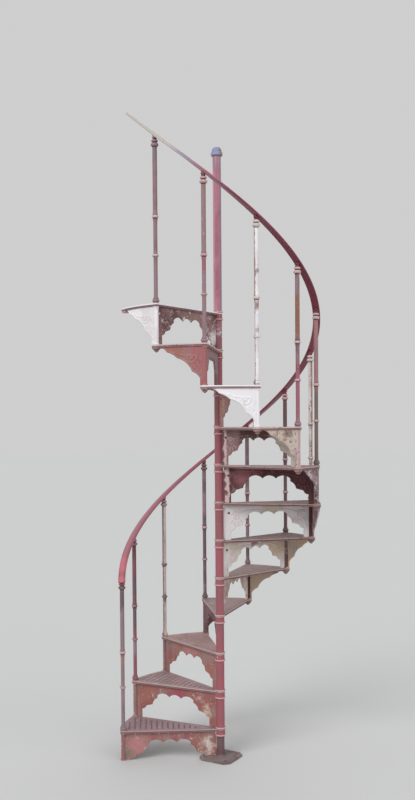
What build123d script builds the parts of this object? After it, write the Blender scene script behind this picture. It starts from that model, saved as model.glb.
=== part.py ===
from build123d import *
from math import atan, cos, degrees, pi, radians, sin
import os

# Cast-iron spiral staircase. The origin is the point where the newel's axis meets the
# floor, +Z is up, and the stair climbs clockwise as seen from above. Sizes are in mm,
# angles in degrees. What repeats is drawn with few sides, and its curves as short chords.

# The flight
step_count = 12
rise = 228.6
step_angle = 28.1
first_angle = 183.9
first_tread_top = 181.0
corner_radius = 590.0

# The newel
newel_sides = 12
bore_sides = 8
core_diameter = 34.0
core_clearance = 0.3
sleeve_diameter = 50.0
foot_sleeve_diameter = 46.0
ring_diameter = 64.0
ring_height = 9.0
post_length = 935.0
cap_diameter = 70.0
cap_collar_height = 22.0
cap_height = 53.0
cap_hole_depth = 18.0
crown_diameter = 52.0
crown_slope_width = 12.0
crown_slope_height = 16.0

# The foot plate
plate_side = 212.0
plate_corner_cut = 31.0
plate_thickness = 14.0
plate_turn = -29.0
bolt_circle_diameter = 200.0
bolt_hole_diameter = 18.0
bolt_count = 4

# A tread
hub_diameter = 56.0
hub_depth = 36.0
tread_thickness = 8.0
rim_depth = 17.0
rim_width = 24.0
rim_sides = 6
nosing_overhang = 20.0
rear_margin = 12.0
outer_margin = 22.0
front_corner_cut = 10.0
lug_radius = 26.0
lug_boss_radius = 22.0
lug_boss_drop = 9.0
lug_sides = 12
lug_hole_diameter = 17.0

# A riser. Reaches run from the newel's axis and from the corner post's axis to the arch,
# widths from the arch's side inwards, and depths from the top of the tread carried.
riser_thickness = 8.0
riser_gap = 0.3
inner_leg_reach = 74.0
outer_leg_reach = 48.0
leg_top_depth = 172.0
ledge_outer_width = 30.0
ledge_outer_depth = 150.0
ledge_inner_width = 74.0
ledge_inner_depth = 138.0
shoulder_width = 108.0
shoulder_depth = 96.0
spring_depth = 80.0
pendant_half_span = 40.0
scallop_rise = 18.0
leg_curl = 7.0
haunch_curl = 8.0
curve_chords = 4

# A string with its corner post. Its lobes are measured along the chord, back from a tail
# that stops short of the next corner.
post_diameter = 29.0
post_sides = 10
string_thickness = 8.0
string_outset = 12.0
string_sides = 4
string_tail_gap = 28.5
thigh_length = 42.0
thigh_depth = 45.0
knee_length = 62.0
knee_depth = 79.0
shin_length = 86.0
shin_depth = 153.0
string_foot_width = 24.0
string_foot_depth = 190.0
shin_curl = 14.0
lobe_curl = 5.0

# A baluster and the handrail
rail_height = 916.0
rail_boss_drop = 12.0
rail_boss_diameter = 24.0
baluster_sides = 8
baluster_upper_diameter = 26.0
baluster_lower_diameter = 23.0
baluster_base_diameter = 40.0
baluster_base_height = 30.0
baluster_base_middle = 13.5
baluster_ring_diameter = 38.0
baluster_ring_height = 12.0
lower_ring_height = 262.0
middle_ring_height = 474.0
capital_diameter = 44.0
capital_ring_diameter = 38.0
capital_neck_diameter = 28.0
capital_ring_pitch = 13.0
rail_width = 44.0
rail_thickness = 19.0
rail_side_height = 6.0
rail_shoulder_share = 0.62
rail_shoulder_height = 16.5
rail_start_length = 26.0
rail_end_taper = 9.0
rail_end_share = 0.55
rail_run_on = 245.0
rail_section_count = 3

# Sizes that follow
tread_radius = corner_radius + outer_margin
bore_radius = core_diameter / 2 + core_clearance
hub_radius = hub_diameter / 2
ring_radius = ring_diameter / 2
post_radius = post_diameter / 2
string_radius = corner_radius + string_outset
corner_chord = 2 * corner_radius * sin(radians(step_angle / 2))
arch_centre = (inner_leg_reach + corner_radius - outer_leg_reach) / 2
leg_half_span = (corner_radius - outer_leg_reach - inner_leg_reach) / 2
top_tread_top = first_tread_top + rise * (step_count - 1)
cap_seat = top_tread_top + post_length
baluster_height = rail_height - rail_boss_drop
climb_per_radian = rise / radians(step_angle)
rail_slope = atan(climb_per_radian / corner_radius)

os.makedirs("parts", exist_ok=True)


def tread_top(step):
    return first_tread_top + rise * step


def step_heading(step):
    return first_angle - step_angle * step


def corner_place(step, height):
    heading = radians(step_heading(step))
    return Vector(corner_radius * cos(heading), corner_radius * sin(heading), height)


def place(piece, step):
    # Turns a piece that is modelled on the +X line to its step, and lifts it to its tread
    return piece.moved(Location((0, 0, tread_top(step)), (0, 0, step_heading(step))))


def chords(start, end, bulge, count=curve_chords):
    # The points after start of an arc with that bulge to the left of the way to end
    span = Vector(*end) - Vector(*start)
    side = Vector(-span.Y, span.X).normalized()
    radius = (span.length**2 / 4 + bulge**2) / (2 * abs(bulge))
    half_turn = 2 * atan(2 * abs(bulge) / span.length)
    points = []
    for index in range(1, count + 1):
        angle = -half_turn + 2 * half_turn * index / count
        along = span.length / 2 + radius * sin(angle)
        out = (radius * cos(angle) - radius * cos(half_turn)) * (1 if bulge > 0 else -1)
        point = Vector(*start) + span.normalized() * along + side * out
        points.append((point.X, point.Y))
    return points


def rim_points(radius, start, turn, count):
    # Points on a circle about the newel, from one heading clockwise through a turn
    points = []
    for index in range(count + 1):
        heading = radians(start - turn * index / count)
        points.append((radius * cos(heading), radius * sin(heading)))
    return points


def save(piece, name):
    piece.label = name
    export_step(piece, f"parts/{name}.step")


def make_base_plate():
    with BuildPart() as base_plate:
        with BuildSketch(Plane.XY.rotated((0, 0, plate_turn))):
            Rectangle(plate_side, plate_side)
        extrude(amount=plate_thickness)
        chamfer(base_plate.edges().filter_by(Axis.Z), plate_corner_cut)
        corner_heading = plate_turn + 45
        with PolarLocations(bolt_circle_diameter / 2, bolt_count, start_angle=corner_heading):
            Hole(bolt_hole_diameter / 2)
    return base_plate.part


def make_core():
    with BuildPart() as core:
        with BuildSketch(Plane.XY.offset(plate_thickness)):
            RegularPolygon(core_diameter / 2, newel_sides)
        extrude(amount=cap_seat + cap_hole_depth - plate_thickness)
    return core.part


def make_sleeve(low, high, diameter, ring_heights):
    # A tube on the rod, with a ring at each of the given heights
    with BuildPart() as sleeve:
        with BuildSketch(Plane.XY.offset(low)):
            RegularPolygon(diameter / 2, newel_sides)
        extrude(amount=high - low)
        for height in ring_heights:
            with BuildSketch(Plane.XY.offset(height)):
                RegularPolygon(ring_radius, newel_sides)
            extrude(amount=ring_height)
        with BuildSketch(Plane.XY.offset(low)):
            RegularPolygon(bore_radius, bore_sides, major_radius=False)
        extrude(amount=high - low, mode=Mode.SUBTRACT)
    return sleeve.part


def make_sleeves():
    with BuildPart() as sleeves:
        head = tread_top(0) - hub_depth
        add(make_sleeve(plate_thickness, head, foot_sleeve_diameter, [head - ring_height]))
        for step in range(step_count - 1):
            foot = tread_top(step)
            head = tread_top(step + 1) - hub_depth
            add(make_sleeve(foot, head, sleeve_diameter, [foot, head - ring_height]))
    return sleeves.part


def make_post():
    # The tall tube over the top tread stays truly round, because a landing clamps to it
    with BuildPart() as post:
        with BuildSketch(Plane.XY.offset(top_tread_top)):
            Circle(sleeve_diameter / 2)
        extrude(amount=post_length)
        with BuildSketch(Plane.XY.offset(top_tread_top)):
            RegularPolygon(ring_radius, newel_sides)
        extrude(amount=ring_height)
        with BuildSketch(Plane.XY.offset(top_tread_top)):
            RegularPolygon(bore_radius, bore_sides, major_radius=False)
        extrude(amount=post_length, mode=Mode.SUBTRACT)
    return post.part


def make_cap():
    with BuildPart() as cap:
        with BuildSketch():
            RegularPolygon(cap_diameter / 2, newel_sides)
        extrude(amount=cap_collar_height)
        with BuildSketch(Plane.XY.offset(cap_collar_height)):
            RegularPolygon(crown_diameter / 2, newel_sides)
        extrude(amount=cap_height - cap_collar_height)
        chamfer(cap.faces().sort_by(Axis.Z)[-1].edges(), crown_slope_height, crown_slope_width)
        with BuildSketch():
            RegularPolygon(bore_radius, bore_sides, major_radius=False)
        extrude(amount=cap_hole_depth, mode=Mode.SUBTRACT)
    return cap.part.moved(Location((0, 0, cap_seat)))


def make_tread(open_eye=False):
    # The tread's top is at z = 0, its front corner on the +X line, and it runs clockwise.
    # Only the last tread's eye is open, because the next corner's bolt fills the others.
    front_lead = degrees(atan(nosing_overhang / tread_radius))
    rear_lag = degrees(atan(rear_margin / tread_radius))
    turn = step_angle + front_lead + rear_lag
    rim = rim_points(tread_radius, front_lead, turn, rim_sides)
    rear_heading = radians(step_angle)
    rear_start = (-rear_margin * sin(rear_heading), -rear_margin * cos(rear_heading))
    lug_centre = Vector(corner_radius * cos(rear_heading), -corner_radius * sin(rear_heading))
    with BuildPart() as tread:
        with BuildSketch() as outline:
            with BuildLine():
                Polyline((0, nosing_overhang), *rim, rear_start, close=True)
            make_face()
            front_corner = outline.vertices().sort_by_distance(rim[0])[0]
            chamfer(front_corner, front_corner_cut)
        extrude(amount=-rim_depth)
        with BuildSketch(Plane.XY.offset(-tread_thickness)):
            add(outline.sketch)
            offset(amount=-rim_width, kind=Kind.INTERSECTION)
        extrude(amount=-rim_depth, mode=Mode.SUBTRACT)
        with BuildSketch():
            RegularPolygon(hub_radius, newel_sides)
        extrude(amount=-hub_depth)
        with BuildSketch():
            with Locations(lug_centre):
                RegularPolygon(lug_radius, lug_sides)
        extrude(amount=-rim_depth)
        with BuildSketch(Plane.XY.offset(-rim_depth)):
            with Locations(lug_centre):
                RegularPolygon(lug_boss_radius, lug_sides)
        extrude(amount=-lug_boss_drop)
        with BuildSketch():
            RegularPolygon(bore_radius, bore_sides, major_radius=False)
        extrude(amount=-hub_depth, mode=Mode.SUBTRACT)
        if open_eye:
            with Locations(lug_centre):
                Hole(lug_hole_diameter / 2)
    return tread.part


def arch_outline():
    # The newel's side of the arch from its foot up to the pendant, and the same mirrored
    leg_foot = (-leg_half_span, -rise)
    leg_top = (-leg_half_span, -leg_top_depth)
    ledge_outer = (ledge_outer_width - leg_half_span, -ledge_outer_depth)
    ledge_inner = (ledge_inner_width - leg_half_span, -ledge_inner_depth)
    shoulder = (shoulder_width - leg_half_span, -shoulder_depth)
    spring = (shoulder_width - leg_half_span, -spring_depth)
    pendant = (-pendant_half_span, -spring_depth)
    side = [leg_foot, leg_top]
    side += chords(leg_top, ledge_outer, -leg_curl)
    side += [ledge_inner]
    side += chords(ledge_inner, shoulder, haunch_curl)
    side += [spring]
    side += chords(spring, pendant, scallop_rise)
    middle = chords(pendant, (pendant_half_span, -spring_depth), scallop_rise)
    other_side = [(-across, height) for across, height in reversed(side)]
    return [(arch_centre + across, height) for across, height in side + middle + other_side[1:]]


def make_riser():
    # Drawn on the XZ plane: X runs from the newel's axis to the corner post, Z is the
    # height from the top of the tread that the riser carries
    clear_of_rings = ring_radius + riser_gap
    clear_of_sleeve = sleeve_diameter / 2 + riser_gap
    outer = corner_radius - post_radius - riser_gap
    neck_top = -hub_depth - ring_height - riser_gap
    neck_bottom = -rise + ring_height + riser_gap
    with BuildPart() as riser:
        with BuildSketch(Plane.XZ):
            with BuildLine():
                Polyline(
                    (clear_of_rings, -rim_depth),
                    (clear_of_rings, neck_top),
                    (clear_of_sleeve, neck_top),
                    (clear_of_sleeve, neck_bottom),
                    (clear_of_rings, neck_bottom),
                    (clear_of_rings, -rise),
                    *arch_outline(),
                    (outer, -rise),
                    (outer, -rim_depth),
                    close=True,
                )
            make_face()
        extrude(amount=riser_thickness / 2, both=True)
    return riser.part


def make_first_riser(riser):
    # The same casting cut off at the floor, its leg by the newel on the foot plate
    with BuildPart() as first_riser:
        add(riser)
        split(bisect_by=Plane.XY.offset(-first_tread_top))
        with BuildSketch(Plane.XY.offset(-first_tread_top)):
            Circle(plate_side)
        extrude(amount=plate_thickness, mode=Mode.SUBTRACT)
    return first_riser.part


def make_string():
    # Drawn flat as seen from outside, then cut to the curve of the tread's edge
    half_turn = step_angle / 2
    post_along = string_radius * sin(radians(half_turn))
    tail = (string_tail_gap - corner_chord, -rim_depth)
    thigh = (tail[0] + thigh_length, -thigh_depth)
    knee = (thigh[0] + knee_length, -knee_depth)
    shin = (knee[0] + shin_length, -shin_depth)
    foot_top = (-string_foot_width, -string_foot_depth)
    outline = [(0, -rim_depth), tail]
    outline += chords(tail, thigh, lobe_curl)
    outline += chords(thigh, knee, lobe_curl)
    outline += chords(knee, shin, shin_curl)
    outline += chords(shin, foot_top, lobe_curl)
    outline += [(-string_foot_width, -rise), (0, -rise)]
    outer = rim_points(string_radius, half_turn, step_angle, string_sides)
    inner = rim_points(string_radius - string_thickness, half_turn, step_angle, string_sides)
    with BuildPart() as curtain:
        with BuildSketch(Plane.YZ):
            with BuildLine():
                Polyline(*[(post_along + along, height) for along, height in outline], close=True)
            make_face()
        extrude(amount=tread_radius)
        with BuildSketch(Plane.XY.offset(-rise)):
            with BuildLine():
                Polyline(*outer, *reversed(inner), close=True)
            make_face()
        extrude(amount=rise, mode=Mode.INTERSECT)
    with BuildPart() as string:
        add(curtain.part, rotation=(0, 0, -half_turn))
        with BuildSketch(Plane.XY.offset(-rise)):
            with Locations((corner_radius, 0)):
                RegularPolygon(post_radius, post_sides)
        extrude(amount=rise - rim_depth)
    return string.part


def make_first_string(string):
    with BuildPart() as first_string:
        add(string)
        split(bisect_by=Plane.XY.offset(-first_tread_top))
    return first_string.part


def ring_profile(middle, shaft_below, shaft_above):
    return [
        (middle - baluster_ring_height / 2, shaft_below),
        (middle, baluster_ring_diameter),
        (middle + baluster_ring_height / 2, shaft_above),
    ]


def make_baluster():
    # Heights and diameters of the turned profile, from the tread up to the rail
    profile = [
        (0, baluster_lower_diameter),
        (baluster_base_middle, baluster_base_diameter),
        (baluster_base_height, baluster_lower_diameter),
    ]
    profile += ring_profile(lower_ring_height, baluster_lower_diameter, baluster_lower_diameter)
    profile += ring_profile(middle_ring_height, baluster_lower_diameter, baluster_upper_diameter)
    profile += [
        (baluster_height - 4 * capital_ring_pitch, capital_neck_diameter),
        (baluster_height - 3 * capital_ring_pitch, capital_diameter),
        (baluster_height - 2 * capital_ring_pitch, capital_neck_diameter),
        (baluster_height - capital_ring_pitch, capital_ring_diameter),
        (baluster_height, rail_boss_diameter),
    ]
    with BuildPart() as baluster:
        for (low, low_diameter), (high, high_diameter) in zip(profile, profile[1:]):
            inset = (low_diameter - high_diameter) / 2 * cos(pi / baluster_sides)
            with BuildSketch(Plane.XY.offset(low)):
                RegularPolygon(low_diameter / 2, baluster_sides)
            extrude(amount=high - low, taper=degrees(atan(inset / (high - low))))
    return baluster.part


def make_balusters(baluster, steps):
    with BuildPart() as balusters:
        with Locations(*[corner_place(step, tread_top(step)) for step in steps]):
            add(baluster)
    return balusters.part


def rail_plane(turn, run_on=0.0):
    # The plane across the rail after a turn from the first baluster, its x outwards
    heading = radians(first_angle - turn)
    outwards = Vector(cos(heading), sin(heading))
    onwards = Vector(sin(heading), -cos(heading))
    tangent = onwards * cos(rail_slope) + Vector(0, 0, sin(rail_slope))
    height = first_tread_top + rail_height + climb_per_radian * radians(turn)
    origin = outwards * corner_radius + Vector(0, 0, height) + tangent * run_on
    return Plane(origin=origin, x_dir=outwards, z_dir=tangent)


def rail_outline(share):
    # The flat underside is on the x line, and a small share shrinks towards the middle
    half = rail_width / 2
    shoulder = half * rail_shoulder_share
    lift = rail_thickness * (1 - share) / 2
    outline = [(-half, 0), (-half, rail_side_height), (-shoulder, rail_shoulder_height)]
    outline += [(0, rail_thickness), (shoulder, rail_shoulder_height)]
    outline += [(half, rail_side_height), (half, 0)]
    return [(across * share, lift + height * share) for across, height in outline]


def make_handrail():
    # Sections along the helix, a small one before them for the rounded lower end, and one
    # at the end of the straight run
    start_turn = -degrees(rail_start_length * cos(rail_slope) / corner_radius)
    last_turn = step_angle * (step_count - 1)
    section_count = rail_section_count * (step_count - 1)
    sections = [(rail_plane(start_turn, -rail_end_taper), rail_end_share)]
    sections += [(rail_plane(start_turn), 1.0)]
    sections += [
        (rail_plane(last_turn * index / section_count), 1.0) for index in range(section_count + 1)
    ]
    sections += [(rail_plane(last_turn, rail_run_on), 1.0)]
    with BuildPart() as handrail:
        for plane, share in sections:
            with BuildSketch(plane):
                with BuildLine():
                    Polyline(*rail_outline(share), close=True)
                make_face()
        loft(ruled=True)
        for step in range(step_count):
            foot = tread_top(step) + baluster_height
            with BuildSketch(Plane(origin=corner_place(step, foot))):
                RegularPolygon(rail_boss_diameter / 2, baluster_sides)
            extrude(amount=rail_boss_drop + rail_thickness / 2)
    return handrail.part


save(make_base_plate(), "base_plate")
save(make_core(), "newel_core")
save(make_sleeves(), "newel_sleeves")
save(make_post(), "newel_post")
save(make_cap(), "newel_cap")

tread = make_tread()
treads = [tread] * (step_count - 1) + [make_tread(open_eye=True)]
riser = make_riser()
risers = [make_first_riser(riser)] + [riser] * (step_count - 1)
string = make_string()
strings = [make_first_string(string)] + [string] * (step_count - 1)
for step in range(step_count):
    number = f"{step + 1:02d}"
    save(place(treads[step], step), f"tread_{number}")
    save(place(risers[step], step), f"riser_{number}")
    save(place(strings[step], step), f"string_{number}")

baluster = make_baluster()
save(make_balusters(baluster, range(0, 4)), "balusters_lower")
save(make_balusters(baluster, range(4, 8)), "balusters_middle")
save(make_balusters(baluster, range(8, 12)), "balusters_upper")
save(make_handrail(), "handrail")
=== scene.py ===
import math

import bmesh
import bpy
import numpy as np
from mathutils import Matrix, Vector
from mathutils.geometry import delaunay_2d_cdt


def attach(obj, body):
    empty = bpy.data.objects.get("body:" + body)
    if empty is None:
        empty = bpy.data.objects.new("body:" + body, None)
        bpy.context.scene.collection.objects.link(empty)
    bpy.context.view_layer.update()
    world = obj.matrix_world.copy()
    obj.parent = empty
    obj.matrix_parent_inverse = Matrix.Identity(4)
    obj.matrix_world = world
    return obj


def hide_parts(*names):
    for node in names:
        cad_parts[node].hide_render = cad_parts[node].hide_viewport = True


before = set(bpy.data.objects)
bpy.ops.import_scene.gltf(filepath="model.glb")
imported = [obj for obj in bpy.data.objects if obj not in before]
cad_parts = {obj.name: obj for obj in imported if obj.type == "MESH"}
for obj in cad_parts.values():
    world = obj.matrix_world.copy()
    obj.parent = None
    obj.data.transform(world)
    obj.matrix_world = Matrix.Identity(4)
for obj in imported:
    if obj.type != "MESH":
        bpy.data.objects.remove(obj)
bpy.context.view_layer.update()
print("frame loaded:", len(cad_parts), "nodes")

# The flight. Metres and degrees, the newel's axis is z, and the steps turn clockwise.
flight = {
    "steps": 12,
    "rise": 0.2286,
    "turn": 28.1,
    "start": 183.9,
    "firstTop": 0.181,
    "cornerRadius": 0.590,
    "edgeRadius": 0.610,
}

paints = {  # sRGB, 0 to 255
    "newelRed": (162, 86, 96), "newelDull": (142, 88, 94), "footPlum": (108, 78, 84),
    "tallRose": (184, 118, 135), "tallMauve": (156, 120, 134), "tallPaintedHighlight": (206, 150, 164),
    "tallDusty": (168, 100, 117), "ringPink": (200, 162, 164), "capGrey": (146, 148, 184),
    "capGreen": (120, 120, 114), "plateBrown": (150, 133, 129), "plateDirt": (122, 110, 102),
    "railRose": (192, 98, 112), "railMauve": (158, 98, 112), "railDark": (122, 32, 60),
    "railDeep": (112, 12, 50), "railLilac": (144, 130, 150), "railGrey": (182, 174, 168),
    "treadMauve": (148, 126, 128), "treadBrown": (130, 112, 104), "treadDark": (110, 91, 84),
    "treadPink": (172, 142, 142), "beadPink": (184, 156, 154), "edgePink": (208, 180, 180),
    "oxideRed": (152, 94, 90), "brick": (160, 104, 94), "crimson": (156, 78, 88),
    "maroon": (90, 44, 46), "plum": (112, 78, 82), "mauveBrown": (138, 106, 108),
    "brownPink": (154, 120, 114), "salmon": (176, 120, 120), "dustyRose": (164, 99, 101),
    "cream": (210, 197, 185), "ochreCream": (208, 189, 166), "straw": (230, 200, 164),
    "chalk": (224, 217, 218), "coldWhite": (240, 236, 240), "mauve": (150, 120, 128),
    "greyMauve": (134, 118, 122), "darkMauve": (112, 90, 96), "greyBrown": (124, 106, 100),
    # darkRustAndShade is a dark rust colour, also used as painted shade on some lugs and in the hollows of
    # the treads' edges
    "dustyOrange": (172, 122, 100), "rust": (148, 98, 80), "darkRustAndShade": (98, 64, 56),
    "orangeRust": (184, 128, 92), "oliveDirt": (124, 118, 102), "greyDirt": (108, 98, 96),
    "dark": (60, 46, 46),
}

making = {
    "weld": 1e-6,
    "sharpFrom": 38,  # degrees
}


def linear(name):
    # A named paint as the linear colour that Blender's sockets take
    shares = [channel / 255 for channel in paints[name]]
    values = [share / 12.92 if share <= 0.04045 else ((share + 0.055) / 1.055) ** 2.4 for share in shares]
    return (*values, 1.0)


def treadTop(step):
    return flight["firstTop"] + flight["rise"] * step


def heading(step):
    return math.radians(flight["start"] - flight["turn"] * step)


def onCircle(radius, angle, height):
    return Vector((radius * math.cos(angle), radius * math.sin(angle), height))


def stepPlace(step):
    return Matrix.Translation((0, 0, treadTop(step))) @ Matrix.Rotation(heading(step), 4, "Z")


def cornerPlace(step, height):
    return onCircle(flight["cornerRadius"], heading(step), height)


def patchesOn(rows, spot):
    # Turns patches placed on a piece into patches round a point of the whole object
    return [(paint, tuple(spot(*at)), radius, ragged) for paint, *at, radius, ragged in rows]


def coatRows(keys, *rows):
    # One coat from each row of values. A row may end in a dictionary of more.
    coats = []
    for row in rows:
        more = row[-1] if isinstance(row[-1], dict) else {}
        coats.append({**dict(zip(keys.split(), row)), **more})
    return coats


# Shapes are pairs of a vertex array and a list of faces, joined before they become meshes


def joined(*shapes):
    verts, faces, count = [], [], 0
    for points, polygons in shapes:
        verts.append(np.asarray(points, float).reshape(-1, 3))
        faces += [tuple(index + count for index in polygon) for polygon in polygons]
        count += len(verts[-1])
    return np.concatenate(verts), faces


def moved(shape, matrix):
    points, faces = shape
    return np.asarray(points) @ np.array(matrix.to_3x3()).T + np.array(matrix.translation), faces


def lifted(shape, x, y, z):
    return moved(shape, Matrix.Translation((x, y, z)))


def atHeight(shape, height):
    points, faces = shape
    return np.column_stack([points, np.full(len(points), height)]), faces


def stitched(loops, capStart=True, capEnd=True):
    # Quads between equally long closed loops of points, with flat ends
    count = len(loops[0])
    points = np.concatenate([np.asarray(loop, float) for loop in loops])
    faces = []
    for row in range(len(loops) - 1):
        for column in range(count):
            a = row * count + column
            b = row * count + (column + 1) % count
            faces.append((a, b, b + count, a + count))
    if capStart:
        faces.append(tuple(reversed(range(count))))
    if capEnd:
        faces.append(tuple(range((len(loops) - 1) * count, len(loops) * count)))
    return points, faces


def circle(radius, height, sides, middle=(0.0, 0.0)):
    angles = np.arange(sides) * 2 * math.pi / sides
    across = middle[0] + radius * np.cos(angles)
    return np.stack([across, middle[1] + radius * np.sin(angles), 0 * angles + height], 1)


def turned(profile, sides, bore=0.0):
    # A lathe shape from (radius, height) pairs, from the foot up, solid or with a round bore
    if bore:
        foot, head = profile[0][1], profile[-1][1]
        profile = [(bore, foot), *profile, (bore, head), (bore, foot)]
    return stitched([circle(radius, height, sides) for radius, height in profile], not bore, not bore)


def ovalArc(middle, half, start, sweep, count):
    # Points on part of an oval, by its two half widths and by angles in degrees
    points = []
    for index in range(count):
        angle = math.radians(start + sweep * index / (count - 1))
        points.append((middle[0] + half[0] * math.cos(angle), middle[1] + half[1] * math.sin(angle)))
    return points


def bead(height, core, reach, half, count=7):
    # A half-round ring on a turned profile: its core radius, outer radius and half height
    return ovalArc((core, height), (reach - core, half), -90, 180, count)


def hexNut(across, height, chamfer=0.0014, chamferShare=0.93):
    # A chamfered nut that stands on z = 0
    reach = across / math.sqrt(3)
    levels = [(chamferShare, 0.0), (1.0, chamfer), (1.0, height - chamfer), (chamferShare, height)]
    return stitched([circle(reach * share, level, 6) for share, level in levels])


def arcPoints(start, end, bulge, count=8):
    # The points after start on an arc that bulges to the left of the way to end
    start, end = Vector(start), Vector(end)
    span = end - start
    side = Vector((-span.y, span.x)).normalized()
    radius = (span.length ** 2 / 4 + bulge ** 2) / (2 * abs(bulge))
    halfTurn = 2 * math.atan(2 * abs(bulge) / span.length)
    points = []
    for index in range(1, count + 1):
        angle = -halfTurn + 2 * halfTurn * index / count
        along = span.length / 2 + radius * math.sin(angle)
        out = math.copysign(radius * math.cos(angle) - radius * math.cos(halfTurn), bulge)
        points.append(tuple(start + span.normalized() * along + side * out))
    return points


def drawn(start, *runs):
    # A line from start through points (x, y) and arcs (x, y, bulge, count)
    points = [start]
    for x, y, *arc in runs:
        points += arcPoints(points[-1], (x, y), *arc) if arc else [(x, y)]
    return points


def putPiece(name, shape, material, replaced=(), relief=None):
    points, faces = shape
    mesh = bpy.data.meshes.new(name)
    mesh.from_pydata(np.asarray(points).tolist(), [], faces)
    if relief is not None:
        values = np.zeros(len(points), np.float32)
        values[: len(relief)] = relief
        mesh.attributes.new("relief", "FLOAT", "POINT").data.foreach_set("value", values)
    mesh.validate()
    work = bmesh.new()
    work.from_mesh(mesh)
    bmesh.ops.remove_doubles(work, verts=work.verts, dist=making["weld"])
    bmesh.ops.recalc_face_normals(work, faces=work.faces)
    work.to_mesh(mesh)
    work.free()
    mesh.shade_smooth()
    mesh.set_sharp_from_angle(angle=math.radians(making["sharpFrom"]))
    mesh.materials.append(material)
    piece = bpy.data.objects.new(name, mesh)
    bpy.context.scene.collection.objects.link(piece)
    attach(piece, "root")
    if replaced:
        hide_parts(*replaced)


# Short ways to add shader nodes


def feed(tree, target, value):
    # Links a socket, or sets a number, a vector or a named paint
    if isinstance(value, bpy.types.NodeSocket):
        tree.links.new(value, target)
    else:
        target.default_value = linear(value) if isinstance(value, str) else value


def addNode(tree, kind, values=None, **settings):
    node = tree.nodes.new("ShaderNode" + kind)
    for key, value in settings.items():
        setattr(node, key, value)
    for key, value in (values or {}).items():
        feed(tree, node.inputs[key], value)
    return node


def addMath(tree, operation, first, second=0.0, third=0.0, clamp=False):
    values = {0: first, 1: second, 2: third}
    return addNode(tree, "Math", values, operation=operation, use_clamp=clamp).outputs[0]


def addNoise(tree, vector, scale, detail=5.0, roughness=0.6, distortion=0.0):
    values = {"Vector": vector, "Scale": scale, "Detail": detail}
    values.update({"Roughness": roughness, "Distortion": distortion})
    return addNode(tree, "TexNoise", values).outputs[0]


def addStep(tree, value, low, high):
    # 0 under low and 1 over high, smooth in between
    values = {"Value": value, "From Min": low, "From Max": high}
    return addNode(tree, "MapRange", values, interpolation_type="SMOOTHSTEP").outputs[0]


def addBlend(tree, share, first, second):
    values = {0: share, 6: first, 7: second}
    return addNode(tree, "Mix", values, data_type="RGBA").outputs[2]


# The camera stands where the photograph was taken
cameraSettings = {
    "place": (0.0, -5.773, 2.034),
    "yaw": -0.671,
    "pitch": -1.531,
    "roll": -0.422,
    "focal": 957.3,  # in pixels of an image 415 wide and 800 high
    "imageHeight": 800,
    "axisBelowCentre": 48.7,
    "sensor": 36.0,
    "clipEnd": 200,
}


def addCamera():
    yaw, pitch, roll = (math.radians(cameraSettings[key]) for key in ("yaw", "pitch", "roll"))
    ahead = Vector((math.sin(yaw) * math.cos(pitch), math.cos(yaw) * math.cos(pitch), math.sin(pitch)))
    level = Vector((math.cos(yaw), -math.sin(yaw), 0))
    upright = level.cross(ahead)
    right = math.cos(roll) * level + math.sin(roll) * upright
    up = math.cos(roll) * upright - math.sin(roll) * level
    data = bpy.data.cameras.new("camera")
    data.sensor_width = cameraSettings["sensor"]
    data.lens = cameraSettings["focal"] * cameraSettings["sensor"] / cameraSettings["imageHeight"]
    data.shift_y = cameraSettings["axisBelowCentre"] / cameraSettings["imageHeight"]
    data.clip_end = cameraSettings["clipEnd"]
    camera = bpy.data.objects.new("camera", data)
    camera.matrix_world = Matrix((right, up, -ahead)).transposed().to_4x4()
    camera.location = cameraSettings["place"]
    bpy.context.scene.collection.objects.link(camera)
    bpy.context.scene.camera = camera


addCamera()
print("camera placed")

# Studio: a pale floor that meets a pale world, and three soft distant lamps
studio = {
    "floor": (0.60, 0.60, 0.595, 1),
    "floorRadius": 60.0,
    "background": (0.62, 0.62, 0.62, 1),
    "ambient": 0.50,
    "ambientTint": (0.96, 0.98, 1.0, 1),
    "lampDistance": 6,
    "lamps": {
        "keyLamp": {"from": (-0.62, -0.78, 0.80), "strength": 1.55, "spread": 35},
        "fillLamp": {"from": (0.80, -0.62, 0.45), "strength": 0.75, "spread": 60},
        "backLamp": {"from": (0.25, 0.90, 0.80), "strength": 0.65, "spread": 60},
    },
}


def addWorld():
    # The camera sees the background, and everything else is lit by the softer ambient light
    world = bpy.data.worlds.new("studioWorld")
    bpy.context.scene.world = world
    world.use_nodes = True
    tree = world.node_tree
    tree.nodes.clear()
    rays = addNode(tree, "LightPath").outputs["Is Camera Ray"]
    light = addNode(tree, "Background", {"Color": studio["ambientTint"], "Strength": studio["ambient"]})
    seen = addNode(tree, "Background", {"Color": studio["background"]})
    mix = addNode(tree, "MixShader", {"Fac": rays, 1: light.outputs[0], 2: seen.outputs[0]})
    addNode(tree, "OutputWorld", {"Surface": mix.outputs[0]})


def addLamps():
    for name, lamp in studio["lamps"].items():
        data = bpy.data.lights.new(name, "SUN")
        data.energy = lamp["strength"]
        data.angle = math.radians(lamp["spread"])
        holder = bpy.data.objects.new(name, data)
        source = Vector(lamp["from"])
        holder.location = source * studio["lampDistance"]
        holder.rotation_euler = source.to_track_quat("Z", "Y").to_euler()
        bpy.context.scene.collection.objects.link(holder)


def addFloor(sides=64):
    mesh = bpy.data.meshes.new("studioFloor")
    mesh.from_pydata(circle(studio["floorRadius"], 0.0, sides).tolist(), [], [tuple(range(sides))])
    floor = bpy.data.objects.new("studioFloor", mesh)
    bpy.context.scene.collection.objects.link(floor)
    material = bpy.data.materials.new("floorFinish")
    material.use_nodes = True
    shader = material.node_tree.nodes["Principled BSDF"]
    shader.inputs["Base Color"].default_value = studio["floor"]
    shader.inputs["Roughness"].default_value = 1.0
    shader.inputs["Specular IOR Level"].default_value = 0.0
    mesh.materials.append(material)


addWorld()
addLamps()
addFloor()
bpy.context.scene.view_settings.view_transform = "Standard"
print("studio set")


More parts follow.
